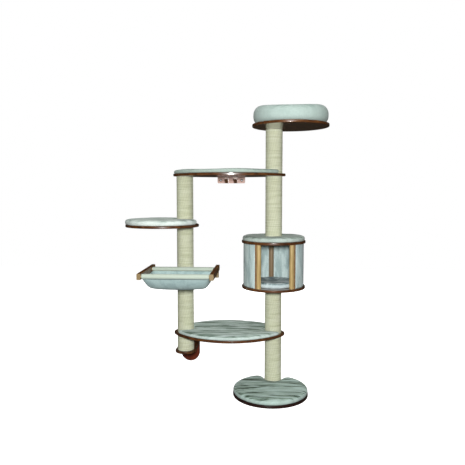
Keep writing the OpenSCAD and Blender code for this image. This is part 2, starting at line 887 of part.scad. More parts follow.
module at_rib_plate_screws() {
    for (s = [-1, 1])
        translate([leaf_c.x + s * rib_gap / 2, wall_y, upper_hole_z]) rotate([-90, 0, 0]) children();
}

module at_foot_screws() {
    for (s = [-1, 1])
        translate([left_axis.x + s * foot_plate_w * rib_screw_share, wall_y, foot_board_z + board_t / 2])
        rotate([-90, 0, 0]) children();
}

module upper_wall_plate() {
    color(lacquer) difference() {
        translate([leaf_c.x - upper_plate_w / 2, wall_y, upper_plate_z]) rotate([90, 0, 0])
            linear_extrude(plate_t) {
                translate([plate_corner_r, 0])
                    square([upper_plate_w - 2 * plate_corner_r, upper_plate_h]);
                translate([0, plate_corner_r])
                    square([upper_plate_w, upper_plate_h - plate_corner_r]);
                for (x = [plate_corner_r, upper_plate_w - plate_corner_r])
                    translate([x, plate_corner_r]) circle(plate_corner_r);
            }
        for (s = [-1, 1]) wall_hole(leaf_c.x + s * upper_hole_gap / 2, upper_hole_z);
        at_rib_plate_screws() short_screw(fit_gap);
    }
}

module upper_bracket_ribs() {
    color(lacquer) difference() {
        for (s = [-1, 1])
            translate([leaf_c.x + s * rib_gap / 2 - rib_w / 2, wall_y - plate_t, upper_shelf_z])
            rotate([-90, 0, -90])
            linear_extrude(rib_w)
            polygon([[0, 0], [rib_len, 0], [rib_len, rib_nose], [0, upper_plate_h]]);
        at_rib_shelf_screws() short_screw(fit_gap);
        at_rib_plate_screws() short_screw(fit_gap);
    }
}

// Foot bracket: a board with a round end under the left post and a plate at the wall
foot_rim_show = 5;
foot_end_r = foot_plate_w / 2 + foot_rim_show;
module foot_bracket_board() {
    color(lacquer) difference() {
        translate([0, 0, foot_board_z]) difference() {
            union() {
                translate([left_axis.x, left_axis.y, 0]) round_board(foot_end_r);
                translate([left_axis.x - foot_plate_w / 2, left_axis.y, 0])
                    cube([foot_plate_w, wall_y - plate_t - left_axis.y, board_t]);
            }
            rod_hole(left_axis);
            recess_foot(left_axis);
        }
        at_foot_screws() short_screw(fit_gap);
    }
}

module foot_wall_plate() {
    r = foot_plate_w / 2;
    color(lacquer) difference() {
        translate([left_axis.x, wall_y, foot_plate_z + r]) rotate([90, 0, 0])
            linear_extrude(plate_t) {
                circle(r);
                translate([-r, 0]) square([foot_plate_w, foot_top + foot_plate_rise - foot_plate_z - r]);
            }
        for (s = [-1, 1]) wall_hole(left_axis.x + s * foot_hole_gap / 2, foot_hole_z);
        at_foot_screws() short_screw(fit_gap);
    }
}

module bracket_screws() {
    color(steel) {
        at_rib_shelf_screws() short_screw();
        at_rib_plate_screws() short_screw();
        at_foot_screws() short_screw();
    }
}

base_board();
base_pad();
post_tube(main_axis, main_sections[0]);  // main_post_tube_1
post_tube(main_axis, main_sections[1]);  // main_post_tube_2
post_tube(main_axis, main_sections[2]);  // main_post_tube_3
post_tube(main_axis, main_sections[3]);  // main_post_tube_4
post_sisal(main_axis, main_sections[0]);  // main_post_sisal_1
post_sisal(main_axis, main_sections[1]);  // main_post_sisal_2
post_sisal(main_axis, main_sections[2]);  // main_post_sisal_3
post_sisal(main_axis, main_sections[3]);  // main_post_sisal_4
post_tube(left_axis, left_sections[0]);  // left_post_tube_1
left_post_tube_2();
post_tube(left_axis, left_sections[2]);  // left_post_tube_3
post_sisal(left_axis, left_sections[0]);  // left_post_sisal_1
left_post_sisal_2();
post_sisal(left_axis, left_sections[2]);  // left_post_sisal_3
post_end_plugs();
threaded_inserts();
joining_studs();
connector_bolts();
bolt_washers();
lower_shelf_board();
lower_shelf_pad();
upper_shelf_board();
upper_shelf_pad();
side_shelf_board();
side_shelf_pad();
cabin_floor_board();
cabin_cushion();
cabin_roof_board();
cabin_roof_pad();
cabin_pillar(0, false, true);  // cabin_pillar_right_door
cabin_pillar(1, true, true);  // cabin_pillar_right_side
cabin_pillar(2, true, true);  // cabin_pillar_rear
cabin_pillar(3, true, true);  // cabin_pillar_left_side
cabin_pillar(4, true, false);  // cabin_pillar_left_door
cabin_panel(0);  // cabin_panel_right
cabin_panel(1);  // cabin_panel_rear_right
cabin_panel(2);  // cabin_panel_rear_left
cabin_panel(3);  // cabin_panel_left
cabin_plush(0);  // cabin_plush_right
cabin_plush(1);  // cabin_plush_rear_right
cabin_plush(2);  // cabin_plush_rear_left
cabin_plush(3);  // cabin_plush_left
cabin_screws();
bed_board();
bed_ring();
bed_cushion();
hammock_left_rail();
hammock_right_rail();
hammock_dowels();
hammock_rear_bar();
hammock_post_block();
hammock_sling();
hammock_screws();
upper_wall_plate();
upper_bracket_ribs();
foot_wall_plate();
foot_bracket_board();
bracket_screws();
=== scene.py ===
import math

import bmesh
import bpy
import numpy as np
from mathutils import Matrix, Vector


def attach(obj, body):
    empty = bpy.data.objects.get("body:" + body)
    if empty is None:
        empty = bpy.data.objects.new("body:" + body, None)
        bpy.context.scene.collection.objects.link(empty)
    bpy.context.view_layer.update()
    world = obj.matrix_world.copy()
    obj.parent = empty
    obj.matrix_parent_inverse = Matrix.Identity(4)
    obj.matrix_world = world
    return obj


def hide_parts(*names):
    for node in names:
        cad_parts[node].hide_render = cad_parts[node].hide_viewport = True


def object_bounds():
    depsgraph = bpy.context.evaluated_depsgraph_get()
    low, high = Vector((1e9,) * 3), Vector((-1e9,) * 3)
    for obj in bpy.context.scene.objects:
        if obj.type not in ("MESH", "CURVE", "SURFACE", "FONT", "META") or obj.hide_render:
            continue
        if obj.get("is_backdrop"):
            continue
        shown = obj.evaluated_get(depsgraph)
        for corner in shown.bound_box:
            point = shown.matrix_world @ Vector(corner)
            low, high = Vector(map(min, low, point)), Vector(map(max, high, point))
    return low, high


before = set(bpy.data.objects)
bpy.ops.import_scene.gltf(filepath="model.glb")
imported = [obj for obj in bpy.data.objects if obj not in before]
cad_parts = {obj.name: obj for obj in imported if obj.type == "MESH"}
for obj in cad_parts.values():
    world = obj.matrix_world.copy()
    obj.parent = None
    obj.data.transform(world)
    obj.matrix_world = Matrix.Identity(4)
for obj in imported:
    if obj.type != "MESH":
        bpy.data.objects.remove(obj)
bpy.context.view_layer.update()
MM = 0.001

# %% [markdown]
# ## Sizes shared with the CAD model
# Every piece made here stands in for a CAD solid, so it starts from the same sizes: the two
# posts, the levels of the boards and the places of the round boards round their posts.
# %% Sizes and places, in metres
POST_R = 60 * MM
ROPE = 6 * MM
TUBE_R = POST_R - ROPE
BOARD = 18 * MM
SPAN = 635 * MM
DISC_R = 258 * MM
LEAF_DEPTH = 513 * MM
TIP_REACH = 82 * MM
FOOT_Z, LOWER_Z, CABIN_Z = 232 * MM, 368 * MM, 713 * MM
SIDE_Z, UPPER_Z, BED_Z = 1151 * MM, 1507 * MM, 1830 * MM
CABIN_CLEAR = 305 * MM
PLATE_H, HOLE_GAP = 45 * MM, 159 * MM
SOFT_GAP = 0.3 * MM
MAIN_STEP, MAIN_TURN = 190 * MM, -6
SIDE_STEP, SIDE_TURN = 166 * MM, -66
BED_STEP, BED_TURN = 187 * MM, 35


def around(distance, turn):
    """A step of the given length, turned from -Y towards +X by the given degrees."""
    a = math.radians(turn)
    return np.array([distance * math.sin(a), -distance * math.cos(a)])


MAIN = -around(MAIN_STEP, MAIN_TURN)
LEFT = MAIN - np.array([SPAN, 0])
SIDE = LEFT + around(SIDE_STEP, SIDE_TURN)
BED = MAIN + around(BED_STEP, BED_TURN)
LEAF = MAIN - np.array([SPAN / 2, 0])
FLOOR_TOP = CABIN_Z + BOARD
ROOF_Z = FLOOR_TOP + CABIN_CLEAR
print("posts at", MAIN.round(4), LEFT.round(4))

# %% [markdown]
# ## The camera
# The photograph looks slightly down and to the left from about the height of the cabin roof.
# Lens, place and turn were fitted to the posts and the rims of the boards. The lens is in
# millimetres, the place is counted from the main post, and the turns are in degrees.
# %% Camera
LENS, SENSOR = 40.65, 36
CAMERA_LEFT, CAMERA_AHEAD, CAMERA_Z = 63.8 * MM, 3745 * MM, 1388.1 * MM
TILT_DOWN, TURN_LEFT = 4.297, 3.512
camera_data = bpy.data.cameras.new("camera")
camera_data.lens = LENS
camera_data.sensor_width = SENSOR
camera = bpy.data.objects.new("camera", camera_data)
camera.location = (MAIN[0] - CAMERA_LEFT, MAIN[1] - CAMERA_AHEAD, CAMERA_Z)
camera.rotation_euler = (math.radians(90 - TILT_DOWN), 0, math.radians(TURN_LEFT))
bpy.context.collection.objects.link(camera)
scene = bpy.context.scene
scene.camera = camera
print("camera at", [round(v, 3) for v in camera.location])

# %% [markdown]
# ## Colour
# Colours are picked as the hex values that a screen shows. Shaders work with linear light,
# so one function turns the first into the second.
# %% Hex colours to linear light
scene.view_settings.view_transform = "Standard"


def colour(code):
    """Linear RGBA of an sRGB hex colour: c/12.92 below 0.04045, else ((c+0.055)/1.055)^2.4."""
    c = np.array([int(code[i:i + 2], 16) for i in (1, 3, 5)]) / 255
    c = np.where(c <= 0.04045, c / 12.92, ((c + 0.055) / 1.055) ** 2.4)
    return (*c.tolist(), 1.0)


print("white is", colour("#ffffff"))

# %% [markdown]
# ## One way to add a node
# Each finish below is a small network of nodes. This helper adds one node, sets its sockets
# and settings, and links what feeds it, so a finish reads as a short list.
# %% Add a node
def add(tree, kind, settings=None, feeds=None, stops=()):
    """Add a node: settings are attributes or sockets by name or number, feeds are links in,
    and stops are a colour ramp's pairs of place and hex colour, in rising order."""
    node = tree.nodes.new(kind)
    for key, value in (settings or {}).items():
        if isinstance(key, str) and hasattr(node, key):
            setattr(node, key, value)
        else:
            node.inputs[key].default_value = value
    for key, socket in (feeds or {}).items():
        tree.links.new(socket, node.inputs[key])
    for number, (place, code) in enumerate(stops):
        elements = node.color_ramp.elements
        element = elements[number] if number < len(elements) else elements.new(place)
        element.position = place
        element.color = colour(code)
    return node


def new_finish(name, settings):
    """A node material and its Principled shader with the given settings, linked to the
    output."""
    material = bpy.data.materials.new(name)
    material.use_nodes = True
    tree = material.node_tree
    tree.nodes.clear()
    shader = add(tree, "ShaderNodeBsdfPrincipled", settings)
    add(tree, "ShaderNodeOutputMaterial", feeds={"Surface": shader.outputs[0]})
    return material, tree, shader


def reopen(material):
    """A finish's tree, its shader, the socket that colours it and a coordinate node."""
    tree = material.node_tree
    shader = next(n for n in tree.nodes if n.type == "BSDF_PRINCIPLED")
    skin = shader.inputs["Base Color"].links[0].from_socket
    return tree, shader, skin, add(tree, "ShaderNodeTexCoord")


print("node helpers ready")

# %% [markdown]
# ## Lacquered mahogany
# The boards are plywood under a thick, dark mahogany lacquer. Clear lacquer lies over the
# stain, so the flash gives a small sharp highlight, and the grain shows as soft long bands
# under it. Grain runs along X here, with bands of 4 to 20 mm and pores of about 1 mm.
# %% Lacquered wood
def lacquered_wood(name, dark, middle, light, along="X", coat=0.7, rough=0.3, end=None):
    """Stained wood under clear lacquer. Noise stretched 14 times along the grain makes bands.
    Faces that look along Y take the colour end, as sawn end grain under clear lacquer does."""
    material, tree, shader = new_finish(name, {"Roughness": rough, "IOR": 1.5,
                                               "Coat Weight": coat, "Coat Roughness": 0.08})
    place = add(tree, "ShaderNodeTexCoord")
    stretch = {"X": (1.0, 14.0, 14.0), "Y": (14.0, 1.0, 14.0), "Z": (14.0, 14.0, 1.0)}[along]
    grain = add(tree, "ShaderNodeMapping", {"Scale": stretch}, {"Vector": place.outputs["Object"]})
    bands = add(tree, "ShaderNodeTexNoise", {"Scale": 5.0, "Detail": 6.0, "Roughness": 0.62,
                                             "Distortion": 0.6}, {"Vector": grain.outputs[0]})
    pores = add(tree, "ShaderNodeTexNoise", {"Scale": 60.0, "Detail": 3.0},
                {"Vector": grain.outputs[0]})
    tint = add(tree, "ShaderNodeValToRGB", feeds={0: bands.outputs["Fac"]},
               stops=[(0.3, dark), (0.52, middle), (0.75, light)])
    bump = add(tree, "ShaderNodeBump", {"Strength": 0.12, "Distance": 0.0004},
               {"Height": pores.outputs["Fac"]})
    skin = tint.outputs["Color"]
    if end:
        facing = add(tree, "ShaderNodeNewGeometry")
        part = add(tree, "ShaderNodeSeparateXYZ", feeds={0: facing.outputs["Normal"]})
        sawn = add(tree, "ShaderNodeMapRange", {1: -0.8, 2: -0.95, 3: 0.0, 4: 1.0},
                   {0: part.outputs[1]})
        skin = add(tree, "ShaderNodeMix", {"data_type": "RGBA", 7: colour(end)},
                   {0: sawn.outputs[0], 6: skin}).outputs[2]
    tree.links.new(skin, shader.inputs["Base Color"])
    tree.links.new(bump.outputs[0], shader.inputs["Normal"])
    return material


# Shelves and round boards: deep brown under a thick coat, so their rims shine.
mahogany = lacquered_wood("lacquered_mahogany", "#2f180b", "#563217", "#7c5129")
# Base board: the darkest stain, whose rim looks nearly black.
dark_mahogany = lacquered_wood("dark_mahogany_lacquer", "#190d0a", "#281511", "#38201a", coat=0.5)
# Foot plate: a redder stain, which the shade of the lower shelf deepens.
red_mahogany = lacquered_wood("red_mahogany_lacquer", "#45180d", "#642917", "#7c3a22", "Z")
# Hammock rails and bar: a thin, duller coat with long streaks, and yellowish sawn ends.
rail_walnut = lacquered_wood("rail_walnut_lacquer", "#4a2a12", "#6b421d", "#96682f", "Y",
                             coat=0.15, rough=0.45, end="#85704a")
# Ribs of the upper bracket: a warm middle brown that stands out from the pinkish plate.
rib_oak = lacquered_wood("rib_oak_lacquer", "#6f4428", "#8d5c39", "#a67650", "Y")
# Upper wall plate: steamed beech is pinkish and nearly plain, its thin coat hardly shines,
# and its pale tone is partly painted glare of the flash.
glare_paled_plate = lacquered_wood("glare_paled_plate_lacquer", "#a5806f", "#ba9486", "#caa89b", "X",
                             coat=0.15, rough=0.5)
# Cabin pillars and dowels: yellow beech under clear varnish, with a soft sheen along them.
golden_beech = lacquered_wood("golden_beech_varnish", "#957c4e", "#b39a66", "#c8b17e", "Z",
                              coat=0.5)
# Rear pillar of the cabin: the pillars' beech made browner and darker, as painted shade of
# the cabin's inside.
shade_browned_beech = lacquered_wood("shade_browned_beech_varnish", "#6b5640", "#7f6a4f", "#927c5e", "Z", coat=0.3)
# Plugs and block inside the posts: sawn and left bare, so they have no shine.
raw_beech = lacquered_wood("sawn_beech", "#b79a72", "#c9ad86", "#d6bf9c", "Z", coat=0.0, rough=0.7)
print("wood finishes:", [m.name for m in bpy.data.materials if "node" not in m.name])

# %% [markdown]
# ## Screw holes in the upper plate
# The upper wall plate has two countersunk screw holes, and a bore swallows the light. The
# finish is mixed to dark brown near each hole's axis as painted shade of the bore, so the CAD
# mesh stays as it is.
# %% Dark holes
SINK_R = 9.2 * MM


def paint_bore_shade(material, holes, radius):
    """Mix a finish to dark brown, as painted shade of a bore, where the distance in X and Z
    from a hole's axis is under the radius."""
    tree, shader, skin, place = reopen(material)
    for x, z in holes:
        flat = add(tree, "ShaderNodeVectorMath", {"operation": "MULTIPLY", 1: (1, 0, 1)},
                   {0: place.outputs["Object"]})
        gap = add(tree, "ShaderNodeVectorMath", {"operation": "DISTANCE", 1: (x, 0, z)},
                  {0: flat.outputs[0]})
        inside = add(tree, "ShaderNodeMath", {"operation": "LESS_THAN", 1: radius},
                     {0: gap.outputs["Value"]})
        skin = add(tree, "ShaderNodeMix", {"data_type": "RGBA", 7: colour("#1c100b")},
                   {0: inside.outputs[0], 6: skin}).outputs[2]
    tree.links.new(skin, shader.inputs["Base Color"])


plate_holes = [(LEAF[0] + side * HOLE_GAP / 2, UPPER_Z - PLATE_H / 2) for side in (-1, 1)]
paint_bore_shade(glare_paled_plate, plate_holes, SINK_R)
print("holes at X and Z:", [[round(float(v), 4) for v in hole] for hole in plate_holes])

# %% [markdown]
# ## Wound sisal rope
# Sisal is a hard, straw coloured leaf fibre, laid in three strands and left undyed, so
# loops differ a little from one another. It has no gloss. The rope carries its own UV map:
# U runs along it in metres and V once round it, so the strands can be drawn at their real
# lay, one strand crossing every 6 mm. The fibres are drawn 1.4 mm wide, so that they show.
# %% Sisal
LAY = 3 * ROPE


def sisal_rope():
    """Slanted waves on U / LAY and V make the three strands and darken the grooves between
    them as painted shade; two noises tint loops and fibres."""
    material, tree, shader = new_finish("natural_sisal_rope", {"Roughness": 0.85,
                                                               "Specular IOR Level": 0.25})
    place = add(tree, "ShaderNodeTexCoord")
    lay = add(tree, "ShaderNodeMapping", {"Scale": (1 / LAY, 1.0, 1.0)},
              {"Vector": place.outputs["UV"]})
    strands = add(tree, "ShaderNodeTexWave", {"wave_type": "BANDS", "bands_direction": "DIAGONAL",
                                              "Scale": 0.95, "Distortion": 0.4, "Detail": 1.0},
                  {"Vector": lay.outputs[0]})
    loops = add(tree, "ShaderNodeMapping", {"Scale": (6.0, 6.0, 120.0)},
                {"Vector": place.outputs["Object"]})
    loop_tint = add(tree, "ShaderNodeTexNoise", {"Scale": 1.0, "Detail": 3.0, "Roughness": 0.6},
                    {"Vector": loops.outputs[0]})
    fibres = add(tree, "ShaderNodeTexNoise", {"Scale": 700.0, "Detail": 2.0},
                 {"Vector": place.outputs["Object"]})
    tint = add(tree, "ShaderNodeValToRGB", feeds={0: loop_tint.outputs["Fac"]},
               stops=[(0.3, "#c3c7a4"), (0.5, "#d9dcc0"), (0.72, "#e2e5cf")])
    # Painted shade: the strand waves darken the grooves between the strands.
    shade = add(tree, "ShaderNodeMix", {"data_type": "RGBA", "blend_type": "MULTIPLY", 0: 0.22},
                {6: tint.outputs["Color"], 7: strands.outputs["Color"]})
    height = add(tree, "ShaderNodeMath", {"operation": "MULTIPLY_ADD", 1: 0.3},
                 {0: fibres.outputs["Fac"], 2: strands.outputs["Fac"]})
    bump = add(tree, "ShaderNodeBump", {"Strength": 0.4, "Distance": 0.0006},
               {"Height": height.outputs[0]})
    tree.links.new(shade.outputs[2], shader.inputs["Base Color"])
    tree.links.new(bump.outputs[0], shader.inputs["Normal"])
    return material


sisal = sisal_rope()
print("one strand turns round the rope in", round(LAY, 3), "m")

# %% [markdown]
# ## Short-pile plush
# The pads wear a short-pile plush whose nap has been stroked in all directions. Where the
# pile lies away from the light it looks dark grey-green, where it stands up it looks nearly
# white. That gives long soft streaks, 10 to 30 mm wide, on the tops, while the sides are
# mixed pale as painted light of the flash. The pile itself is too fine to show, so it is
# drawn as clumps of 3 to 6 mm.
# %% Plush
def short_plush(name, pale, middle, dark, streak=0.55, stretch=(1.6, 15.0, 3.0), swing=0.0,
                painted_side_light=0.8):
    """Noise stretched along X makes streaks, which swing turns, and the normal's Z keeps them
    to the top faces. painted_side_light is how far the sides go towards the pale colour, as
    painted light of the flash."""
    material, tree, shader = new_finish(name, {"Roughness": 0.95, "Specular IOR Level": 0.1,
                                               "Sheen Weight": 0.1, "Sheen Roughness": 0.5})
    place = add(tree, "ShaderNodeTexCoord")
    turned = add(tree, "ShaderNodeMapping", {"Rotation": (0, 0, swing), "Scale": stretch},
                 {"Vector": place.outputs["Object"]})
    streaks = add(tree, "ShaderNodeTexNoise", {"Scale": 2.6, "Detail": 4.0, "Roughness": 0.55,
                                               "Distortion": 0.9}, {"Vector": turned.outputs[0]})
    clumps = add(tree, "ShaderNodeTexNoise", {"Scale": 190.0, "Detail": 3.0, "Roughness": 0.65},
                 {"Vector": place.outputs["Object"]})
    tint = add(tree, "ShaderNodeValToRGB", feeds={0: streaks.outputs["Fac"]},
               stops=[(0.4, dark), (0.4 + 0.16 * streak, middle), (0.61, pale)])
    facing = add(tree, "ShaderNodeNewGeometry")
    up = add(tree, "ShaderNodeSeparateXYZ", feeds={0: facing.outputs["Normal"]})
    # Painted light: faces that don't look up are mixed towards the pale colour.
    side = add(tree, "ShaderNodeMapRange", {1: 0.35, 2: 0.9, 3: painted_side_light, 4: 0.0},
               {0: up.outputs[2]})
    edge = add(tree, "ShaderNodeMix", {"data_type": "RGBA", 7: colour(pale)},
               {0: side.outputs[0], 6: tint.outputs["Color"]})
    mottle = add(tree, "ShaderNodeMapRange", {1: 0.3, 2: 0.75, 3: 0.8, 4: 1.06},
                 {0: clumps.outputs["Fac"]})
    shade = add(tree, "ShaderNodeMix", {"data_type": "RGBA", "blend_type": "MULTIPLY", 0: 1.0},
                {6: edge.outputs[2], 7: mottle.outputs[0]})
    bump = add(tree, "ShaderNodeBump", {"Strength": 0.6, "Distance": 0.002},
               {"Height": clumps.outputs["Fac"]})
    tree.links.new(shade.outputs[2], shader.inputs["Base Color"])
    tree.links.new(bump.outputs[0], shader.inputs["Normal"])
    return material


# Base pad: the strongest streaks, deep green on grey-green, a little aslant.
streaky_plush = short_plush("streaked_plush", "#b6ccc4", "#92a89a", "#3a4d3e", swing=0.12)
# Lower shelf: a paler ground and streaks that run aslant.
lower_plush = short_plush("lower_shelf_plush_finish", "#d0e0da", "#a5baae", "#5a705f", swing=-0.6)
# Upper shelf: seen edge-on, where only an even nap shows.
shelf_plush = short_plush("pale_shelf_plush", "#a8b9af", "#9cafa5", "#768c81", streak=0.4)
# Side shelf: the palest nap, with soft grey streaks.
side_plush = short_plush("side_shelf_plush_finish", "#dde8e2", "#c0cfc6", "#7c9186", streak=0.45)
# Cabin roof: a darker grey-green, its streaks a little aslant.
roof_plush = short_plush("roof_pad_plush_finish", "#b9c7bf", "#9fb1a4", "#4f6455", swing=-0.3)
# Bed: an even pile with no streaks to speak of, so its form shades it, besides the painted
# light on its sides.
white_plush = short_plush("white_plush", "#b3c5be", "#aabdb5", "#93aaa1", streak=0.4)
# Cabin walls: a bluish nap brushed upright, so its streaks stand.
wall_plush = short_plush("wall_plush", "#c8dad7", "#b6c9c8", "#8fa6a6", stretch=(10, 10, 2),
                         painted_side_light=0.3)
# Cabin cushion: a pale ground with dark blotches, which are painted shade of the cabin's inside.
shade_blotched_cushion = short_plush("cabin_cushion_plush", "#cbd9d9", "#8fa5a6", "#5c7275",
                         stretch=(4, 4, 4))
# Sling: the same bluish nap pulled taut, nearly even.
sling_plush = short_plush("sling_plush", "#b3cac8", "#a6bfbe", "#92abab", stretch=(5, 5, 5),
                          painted_side_light=0.4)
print("plush finishes:", [m.name for m in bpy.data.materials if "plush" in m.name])

# %% [markdown]
# ## Painted light on the sling's rolls
# Over the dowels the rolls catch the light, so above a height the plush is mixed towards
# cream as painted light, while the belly hangs in its own shade and stays bluish. Height
# alone tells them apart.
# %% Cream rolls
ROLL_FOOT, ROLL_FADE = 839 * MM, 4 * MM


def paint_roll_light(material, low, fade, code):
    """Mix a plush towards a colour where Z is above low, over a fade's height, as painted light.
    """
    tree, shader, skin, place = reopen(material)
    part = add(tree, "ShaderNodeSeparateXYZ", feeds={0: place.outputs["Object"]})
    up = add(tree, "ShaderNodeMapRange", {1: low, 2: low + fade, 3: 0.0, 4: 0.8},
             {0: part.outputs[2]})
    mixed = add(tree, "ShaderNodeMix", {"data_type": "RGBA", 7: colour(code)},
                {0: up.outputs[0], 6: skin})
    tree.links.new(mixed.outputs[2], shader.inputs["Base Color"])


paint_roll_light(sling_plush, ROLL_FOOT, ROLL_FADE, "#b6bfae")
print("rolls turn cream above", round(ROLL_FOOT, 3), "m")

# %% [markdown]
# ## Steel, paper tube and bent board
# Screws, rods and washers are zinc plated steel. The posts' tubes are wound from brown paper,
# and the cabin's walls are thin fibre board. Little of them shows, but all are finished.
# %% Small finishes
def zinc_steel():
    """Metal with a fine noise in its roughness, as plating gives."""
    material, tree, shader = new_finish("zinc_plated_steel", {"Base Color": colour("#b9bdc2"),
                                                              "Metallic": 1.0})
    place = add(tree, "ShaderNodeTexCoord")
    grit = add(tree, "ShaderNodeTexNoise", {"Scale": 900.0, "Detail": 2.0},
               {"Vector": place.outputs["Object"]})
    rough = add(tree, "ShaderNodeMapRange", {3: 0.22, 4: 0.42}, {0: grit.outputs["Fac"]})
    tree.links.new(rough.outputs[0], shader.inputs["Roughness"])
    return material


def pressed_fibre(name, dark, light):
    """Matt brown board: two noises for fibres of 2.4 mm and clouds of 33 mm."""
    material, tree, shader = new_finish(name, {"Roughness": 0.8})
    place = add(tree, "ShaderNodeTexCoord")
    fibres = add(tree, "ShaderNodeTexNoise", {"Scale": 420.0, "Detail": 4.0},
                 {"Vector": place.outputs["Object"]})
    clouds = add(tree, "ShaderNodeTexNoise", {"Scale": 30.0, "Detail": 2.0},
                 {"Vector": place.outputs["Object"]})
    both = add(tree, "ShaderNodeMath", {"operation": "MULTIPLY"},
               {0: fibres.outputs["Fac"], 1: clouds.outputs["Fac"]})
    tint = add(tree, "ShaderNodeValToRGB", feeds={0: both.outputs[0]},
               stops=[(0.12, dark), (0.4, light)])
    tree.links.new(tint.outputs["Color"], shader.inputs["Base Color"])
    return material


steel = zinc_steel()
paper_tube = pressed_fibre("wound_paper_tube", "#7d6244", "#a58862")
bent_board = pressed_fibre("bent_fibre_board", "#6e5238", "#96744f")
print("small finishes ready")

# %% [markdown]
# ## Finishing the CAD pieces
# Boards, pillars, rails, dowels, brackets and metal keep their CAD shape. Each gets the
# finish of its real material.
# %% Assign finishes to CAD nodes
WALLS = ["right", "rear_right", "rear_left", "left"]
GOLDEN_PILLARS = ["right_door", "right_side", "left_side", "left_door"]
CAD_FINISH = {
    dark_mahogany: ["base_board"],
    mahogany: ["lower_shelf_board", "upper_shelf_board", "side_shelf_board",
               "cabin_floor_board", "cabin_roof_board", "bed_board", "foot_bracket_board"],
    red_mahogany: ["foot_wall_plate"],
    glare_paled_plate: ["upper_wall_plate"],
    rib_oak: ["upper_bracket_ribs"],
    rail_walnut: ["hammock_left_rail", "hammock_right_rail", "hammock_rear_bar"],
    golden_beech: [f"cabin_pillar_{place}" for place in GOLDEN_PILLARS] + ["hammock_dowels"],
    shade_browned_beech: ["cabin_pillar_rear"],
    raw_beech: ["post_end_plugs", "hammock_post_block"],
    steel: ["threaded_inserts", "joining_studs", "connector_bolts", "bolt_washers",
            "cabin_screws", "hammock_screws", "bracket_screws"],
    paper_tube: [f"main_post_tube_{i}" for i in (1, 2, 3, 4)]
    + [f"left_post_tube_{i}" for i in (1, 2, 3)],
    bent_board: [f"cabin_panel_{wall}" for wall in WALLS],
}
for finish, nodes in CAD_FINISH.items():
    for node in nodes:
        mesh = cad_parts[node].data
        mesh.materials.clear()
        mesh.materials.append(finish)
print("finished", sum(len(v) for v in CAD_FINISH.values()), "CAD nodes")

# %% [markdown]
# ## Surfaces from grids of points
# A new piece is a surface over a grid: rows of points, each row a closed loop. Joining the
# rows gives the skin, and a fan of triangles closes each end. The arrays go to the mesh whole.
# %% Mesh from a grid
def mesh_piece(name, points, faces, finish):
    """A smooth object from an (n, 3) array of points and a list of face arrays."""
    mesh = bpy.data.meshes.new(name)
    mesh.from_pydata(points.tolist(), [], [f for block in faces for f in block.tolist()])
    mesh.polygons.foreach_set("use_smooth", np.full(len(mesh.polygons), True))
    mesh.materials.append(finish)
    mesh.update()
    piece = bpy.data.objects.new(name, mesh)
    bpy.context.collection.objects.link(piece)
    return piece


def loop_skin(rings):
    """Faces of a closed skin over rings (m, n, 3): quads between rings, a fan at each end."""
    m, n = rings.shape[:2]
    ring, place = np.meshgrid(np.arange(m - 1), np.arange(n), indexing="ij")
    a, b = ring * n + place, ring * n + (place + 1) % n
    quads = np.stack([a, b, b + n, a + n], -1).reshape(-1, 4)
    i = np.arange(n)
    foot = np.stack([np.full(n, m * n), (i + 1) % n, i], -1)
    top = np.stack([np.full(n, m * n + 1), (m - 1) * n + i, (m - 1) * n + (i + 1) % n], -1)
    points = np.vstack([rings.reshape(-1, 3), rings[0].mean(0), rings[-1].mean(0)])
    return points, [quads, foot, top]


def torus_skin(rings):
    """Faces over rings (m, n, 3) that close both ways, as on a tube bent into a ring."""
    m, n = rings.shape[:2]
    ring, place = np.meshgrid(np.arange(m), np.arange(n), indexing="ij")
    a, b = ring * n + place, ring * n + (place + 1) % n
    c, d = ((ring + 1) % m) * n + (place + 1) % n, ((ring + 1) % m) * n + place
    return rings.reshape(-1, 3), [np.stack([a, b, c, d], -1).reshape(-1, 4)]


def face_out(piece):
    """Recalculate the normals outwards."""
    work = bmesh.new()
    work.from_mesh(piece.data)
    bmesh.ops.recalc_face_normals(work, faces=work.faces[:])
    work.to_mesh(piece.data)
    work.free()


print("grid helpers ready")

# %% [markdown]
# ## The sisal windings
# On the real posts one long rope is wound and glued round each tube section, loop on loop.
# A texture on a cylinder would lose the ribbed outline, so each winding is made as one tube
# along a helix. The first and the last turn lie level, so no gap shows at the boards.
# %% Rope round a post
def winding(name, node, axis, low, high, steps=60, sides=8):
    """Tube of radius ROPE/2 along a helix of radius TUBE_R + ROPE/2 that climbs one rope
    diameter a turn: x = R cos t, y = R sin t, z = low + r + pitch (t / 2 pi - 1), held level
    for one turn at each end."""
    r = ROPE / 2
    centre_r = TUBE_R + r
    climb = round((high - low - 2 * r) / ROPE)
    turns = climb + 2
    t = np.linspace(0, turns, turns * steps + 1)
    z = low + r + (high - low - 2 * r) / climb * np.clip(t - 1, 0, climb)
    angle = 2 * np.pi * t
    phi = np.arange(sides) * 2 * np.pi / sides
    out = centre_r + r * 0.995 * np.cos(phi)[None, :]
    rings = np.stack([axis[0] + out * np.cos(angle)[:, None],
                      axis[1] + out * np.sin(angle)[:, None],
                      z[:, None] + r * 0.995 * np.sin(phi)[None, :]], -1)
    piece = mesh_piece(name, *loop_skin(rings), sisal)
    length = np.repeat(t * 2 * np.pi * centre_r, sides)
    share = np.tile(np.arange(sides) / sides, len(t))
    corner = np.empty(len(piece.data.loops), np.int32)
    piece.data.loops.foreach_get("vertex_index", corner)
    u = np.append(length, [0, length[-1]])[corner]
    v = np.append(share, [0, 0])[corner]
    layer = piece.data.uv_layers.new(name="rope")
    layer.data.foreach_set("uv", np.stack([u, v], -1).ravel().astype(np.float32))
    face_out(piece)
    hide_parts(node)
    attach(piece, "tree")
    metres = turns * math.hypot(2 * np.pi * centre_r, ROPE)
    print(name, turns, "turns of rope,", round(metres, 1), "m")


